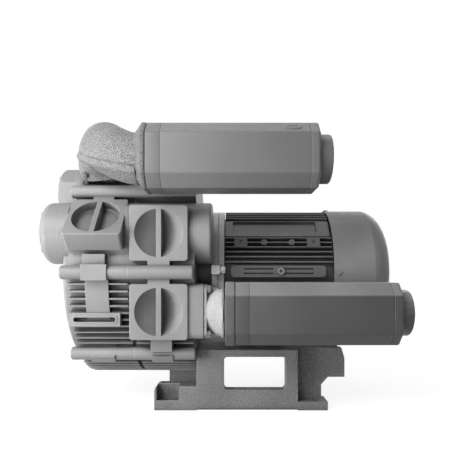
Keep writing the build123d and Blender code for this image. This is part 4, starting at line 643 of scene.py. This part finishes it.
def bezier(points, t):
    """Sum of binomial(n, k) (1 - t)^(n - k) t^k P_k, for every t at once."""
    n = len(points) - 1
    weights = [math.comb(n, k) * (1 - t) ** (n - k) * t ** k for k in range(n + 1)]
    return np.sum([w[:, None] * np.array(p) for w, p in zip(weights, points)], axis=0)


def unit(rows):
    return rows / np.linalg.norm(rows, axis=-1, keepdims=True)


def carried_frames(path, first_side):
    """Two directions square to the path at each station, carried along without a twist."""
    along = unit(np.gradient(path, axis=0))
    side = unit(np.array(first_side) - np.dot(first_side, along[0]) * along[0])
    sides = []
    for way in along:
        side = unit(side - np.dot(side, way) * way)
        sides.append(side)
    sides = np.array(sides)
    return sides, np.cross(along, sides)


def lumps(t, angle, amount):
    """Shallow unevenness from the sand: a few sines of unrelated lengths."""
    wave = np.sin(9 * t + 2 * angle) + 0.7 * np.sin(17 * t - 3 * angle + 1)
    wave = wave + 0.5 * np.sin(31 * t + 5 * angle + 2)
    return amount * wave / 2.2


def tube(path, sides, ups, radius, inner):
    """Closed shell: out along the radius field, back along the inner radius."""
    angle = np.linspace(0, 2 * math.pi, radius.shape[1], endpoint=False)
    ring = np.cos(angle)[None, :, None] * sides[:, None, :] + np.sin(angle)[None, :, None] * ups[:, None, :]
    outer = path[:, None, :] + radius[:, :, None] * ring
    hollow = path[:, None, :] + np.full_like(radius, inner)[:, :, None] * ring
    return np.concatenate([outer, hollow[::-1]])


def rounded_plate(origin, right, up, half_w, half_h, corner, thick, bore, edge=0.003):
    """A flange plate with soft edges and a round bore, standing on its plane."""
    out = np.cross(right, up)
    flat = []
    for turn, (sx, sy) in enumerate([(1, 1), (-1, 1), (-1, -1), (1, -1)]):
        angle = math.radians(90 * turn) + np.linspace(0, math.pi / 2, PLATE_CORNER_STEPS)
        flat.append(np.stack([sx * (half_w - corner) + corner * np.cos(angle),
                              sy * (half_h - corner) + corner * np.sin(angle)], axis=-1))
    flat = np.concatenate(flat)
    inward = unit(flat)
    rings = []
    for h, inset in ((0, 0), (thick - edge, 0), (thick - 0.4 * edge, 0.25 * edge), (thick, edge)):
        rings.append((h, flat - inset * inward))
    for h in (thick, 0):
        rings.append((h, inward * bore))
    return np.array([origin + ring[:, :1] * right + ring[:, 1:] * up + h * out for h, ring in rings])

# %% [markdown]
# The suction elbow leaves the tilted port, climbs over a hump and comes down level into the upper
# silencer. A fine groove shows where its two mould halves met, and the lower half swells softly beneath
# it. The discharge elbow is a short swan neck between two square plates.

# %% Build both elbows
STAGE_X = -0.34725
PORT_FACE_R = 0.289
PORT_MID = 0.094
FLANGE_THICK = 0.020
TILT = math.radians(45)
RING_POINTS = 300
LUMP_HEIGHT = 0.0006
SUCTION_STATIONS = 120
SUCTION_SINK = 0.004
SUCTION_FOOT_SHIFT = -0.008
SUCTION_RISE, SUCTION_RISE_SHIFT = 0.050, -0.007
SUCTION_HUMP, SUCTION_HUMP_SHIFT, SUCTION_HUMP_SHARE = 0.088, 0.004, 0.65
SUCTION_RUN, SUCTION_RUN_RISE = 0.080, 0.006
SUCTION_LAP = 0.004
SUCTION_R = 0.058
SUCTION_BORE_R = 0.044
SUCTION_PLATE = (0.0675, 0.066, 0.012)
SUCTION_PLATE_SHIFT = -0.003
# Amount, place along the tube and spread of the wider ends, and of how square the foot is
SUCTION_FOOT, SUCTION_MOUTH, SUCTION_SQUARE = (0.0075, 0, 0.33), (0.001, 1, 0.1), (0.12, 0, 0.22)
# Three hollows and a swelling: amount, place along the tube, spread, facing angle in degrees, narrowness
SUCTION_FORMS = ((-0.0085, 0.42, 0.15, 150, 1), (-0.0050, 0.64, 0.10, 135, 1),
                 (-0.0100, 0.11, 0.07, 270, 1.5), (0.0060, 0.08, 0.08, 180, 2))
# A place on the groove, and how the groove climbs along X and along Y
GROOVE_PLACE, GROOVE_SLOPE_X, GROOVE_SLOPE_Y = (-0.380, -0.300, 0.630), -0.135, 0.30
# Amount, depth under the groove and spread
GROOVE, SWELLING = (-0.0026, 0.0, 0.0015), (0.0050, 0.012, 0.009)
DISCHARGE_START = (-0.092, -0.215, 0.261)
DISCHARGE_STATIONS = 40
DISCHARGE_BEND = 0.3
DISCHARGE_R, DISCHARGE_TAPER = 0.060, 0.004
DISCHARGE_BORE_R = 0.048
DISCHARGE_FOOT, DISCHARGE_MOUTH, DISCHARGE_SPREAD = 0.006, 0.004, 0.08
DISCHARGE_PLATE = 0.006
DISCHARGE_PLATE_HALVES = (0.064, 0.056)
DISCHARGE_PLATE_CORNER, DISCHARGE_PLATE_EDGE = 0.014, 0.002


def bell(x, middle, width):
    return np.exp(-((x - middle) / width) ** 2)


def term(x, amount, middle, width):
    return amount * bell(x, middle, width)


def mould_step(places):
    """A fine groove where the two mould halves met, and the soft swelling of the lower half beneath it."""
    x, y, z = GROOVE_PLACE
    level = z + GROOVE_SLOPE_X * (places[..., 0] - x) + GROOVE_SLOPE_Y * (places[..., 1] - y)
    below = level - places[..., 2]
    return term(below, *SWELLING) + term(below, *GROOVE)


def tube_grid(stations):
    """Places along the tube, and grids of the place and of the angle round it."""
    t = np.linspace(0, 1, stations)
    angle = np.linspace(0, 2 * math.pi, RING_POINTS, endpoint=False)
    return t, *np.meshgrid(t, angle, indexing="ij")


def tilted_place(face, along):
    """A place on the tilted side: face is its distance from the shaft, along its shift downwards."""
    c, s = math.cos(TILT), math.sin(TILT)
    return np.array([STAGE_X, -face * c - along * s, AXIS_Z + face * s - along * c])


def suction_elbow():
    out = np.array([0, -math.cos(TILT), math.sin(TILT)])
    right, up = np.array([1.0, 0, 0]), np.array([0, math.sin(TILT), math.cos(TILT)])
    seat = tilted_place(PORT_FACE_R, -PORT_MID)
    start = seat + out * (FLANGE_THICK - SUCTION_SINK)
    x, y, z = SILENCERS["suction"]
    foot = start + SUCTION_FOOT_SHIFT * right
    top_y = start[1] * (1 - SUCTION_HUMP_SHARE) + y * SUCTION_HUMP_SHARE
    route = [foot, foot + out * SUCTION_RISE + SUCTION_RISE_SHIFT * right,
             np.array([start[0] - SUCTION_HUMP_SHIFT, top_y, z + SUCTION_HUMP]),
             np.array([x - SUCTION_RUN, y, z + SUCTION_RUN_RISE]), np.array([x + SUCTION_LAP, y, z])]
    t, grid_t, grid_a = tube_grid(SUCTION_STATIONS)
    path = bezier(route, t)
    sides, ups = carried_frames(path, right)
    radius = SUCTION_R + term(grid_t, *SUCTION_FOOT) + term(grid_t, *SUCTION_MOUTH)
    radius = radius * (1 + term(grid_t, *SUCTION_SQUARE) * np.sin(2 * grid_a) ** 2)
    for amount, middle, spread, facing, power in SUCTION_FORMS:
        towards = np.maximum(0, np.cos(grid_a - math.radians(facing)))
        radius = radius + term(grid_t, amount, middle, spread) * towards ** power
    radius = radius + lumps(grid_t, grid_a, LUMP_HEIGHT)
    plain = tube(path, sides, ups, radius, SUCTION_BORE_R)[:SUCTION_STATIONS]
    radius = radius + mould_step(plain)
    plate = rounded_plate(seat + SUCTION_PLATE_SHIFT * right, right, -up, *SUCTION_PLATE, FLANGE_THICK,
                          SUCTION_BORE_R)
    return [tube(path, sides, ups, radius, SUCTION_BORE_R), plate]


def discharge_elbow():
    """The rings stay square to X while they shift sideways, partly straight and partly in an S."""
    x0, y0, z0 = DISCHARGE_START
    x1, y1, z1 = SILENCERS["discharge"]
    right, up = np.array([0, 1.0, 0]), np.array([0, 0, 1.0])
    t, grid_t, grid_a = tube_grid(DISCHARGE_STATIONS)
    shift = (1 - DISCHARGE_BEND) * t + DISCHARGE_BEND * t * t * (3 - 2 * t)
    path = np.stack([x0 + DISCHARGE_PLATE / 2 + (x1 - x0 - DISCHARGE_PLATE) * t, y0 + (y1 - y0) * shift,
                     z0 + (z1 - z0) * shift], axis=-1)
    sides, ups = np.tile(right, (len(t), 1)), np.tile(up, (len(t), 1))
    radius = DISCHARGE_R - DISCHARGE_TAPER * grid_t + lumps(grid_t, grid_a, LUMP_HEIGHT)
    radius = radius + DISCHARGE_FOOT * np.exp(-grid_t / DISCHARGE_SPREAD)
    radius = radius + DISCHARGE_MOUTH * np.exp(-(1 - grid_t) / DISCHARGE_SPREAD)
    shells = [tube(path, sides, ups, radius, DISCHARGE_BORE_R)]
    ends = ((x0, y0, z0), (x1 - DISCHARGE_PLATE, y1, z1))
    for place, half in zip(ends, DISCHARGE_PLATE_HALVES):
        shells.append(rounded_plate(np.array(place), right, up, half, half, DISCHARGE_PLATE_CORNER,
                                    DISCHARGE_PLATE, DISCHARGE_BORE_R, DISCHARGE_PLATE_EDGE))
    return shells


for node, shells in (("suction_elbow", suction_elbow()), ("discharge_elbow", discharge_elbow())):
    made = piece(node + "_skin", node, shells)
    print(made.name, len(made.data.polygons), "faces")

# %% [markdown]
# A hex plug stands in the middle of the motor's lower rail. It is a small fastener, so it is made only
# here. A hexagon's radius is half its width over the cosine of the angle from the nearest flat.

# %% Hex plug on the motor's rail
PLUG_PLACE = (0.102, -0.1775, 0.3585)
PLUG_ACROSS = 0.018
PLUG_HEIGHT = 0.007
PLUG_CHAMFER = 0.0015
PLUG_SINK = 0.002
PLUG_HOLE, PLUG_CENTRE = 0.5, 0.02


def hex_plug():
    """A hexagon that ends in a circle, with a blind hole whose floor lies just above the rail."""
    angle = np.linspace(0, 2 * math.pi, 72, endpoint=False)
    from_flat = (angle + math.pi / 6) % (math.pi / 3) - math.pi / 6
    hexagon = PLUG_ACROSS / 2 / np.cos(from_flat)
    circle = np.full_like(angle, PLUG_ACROSS / 2)
    hole, centre = circle * PLUG_HOLE, circle * PLUG_CENTRE
    steps = [(-PLUG_SINK, hexagon), (PLUG_HEIGHT - PLUG_CHAMFER, hexagon), (PLUG_HEIGHT, circle),
             (PLUG_HEIGHT, hole), (PLUG_SINK, hole), (PLUG_SINK, centre), (-PLUG_SINK, centre)]
    rings = [np.column_stack([r * np.cos(angle), np.full_like(angle, -h), r * np.sin(angle)])
             for h, r in steps]
    return np.array(rings) + np.array(PLUG_PLACE)


plug = piece("rail_plug", "cowl_screws", [hex_plug()], stands_in=False)
print(plug.name, len(plug.data.polygons), "faces")
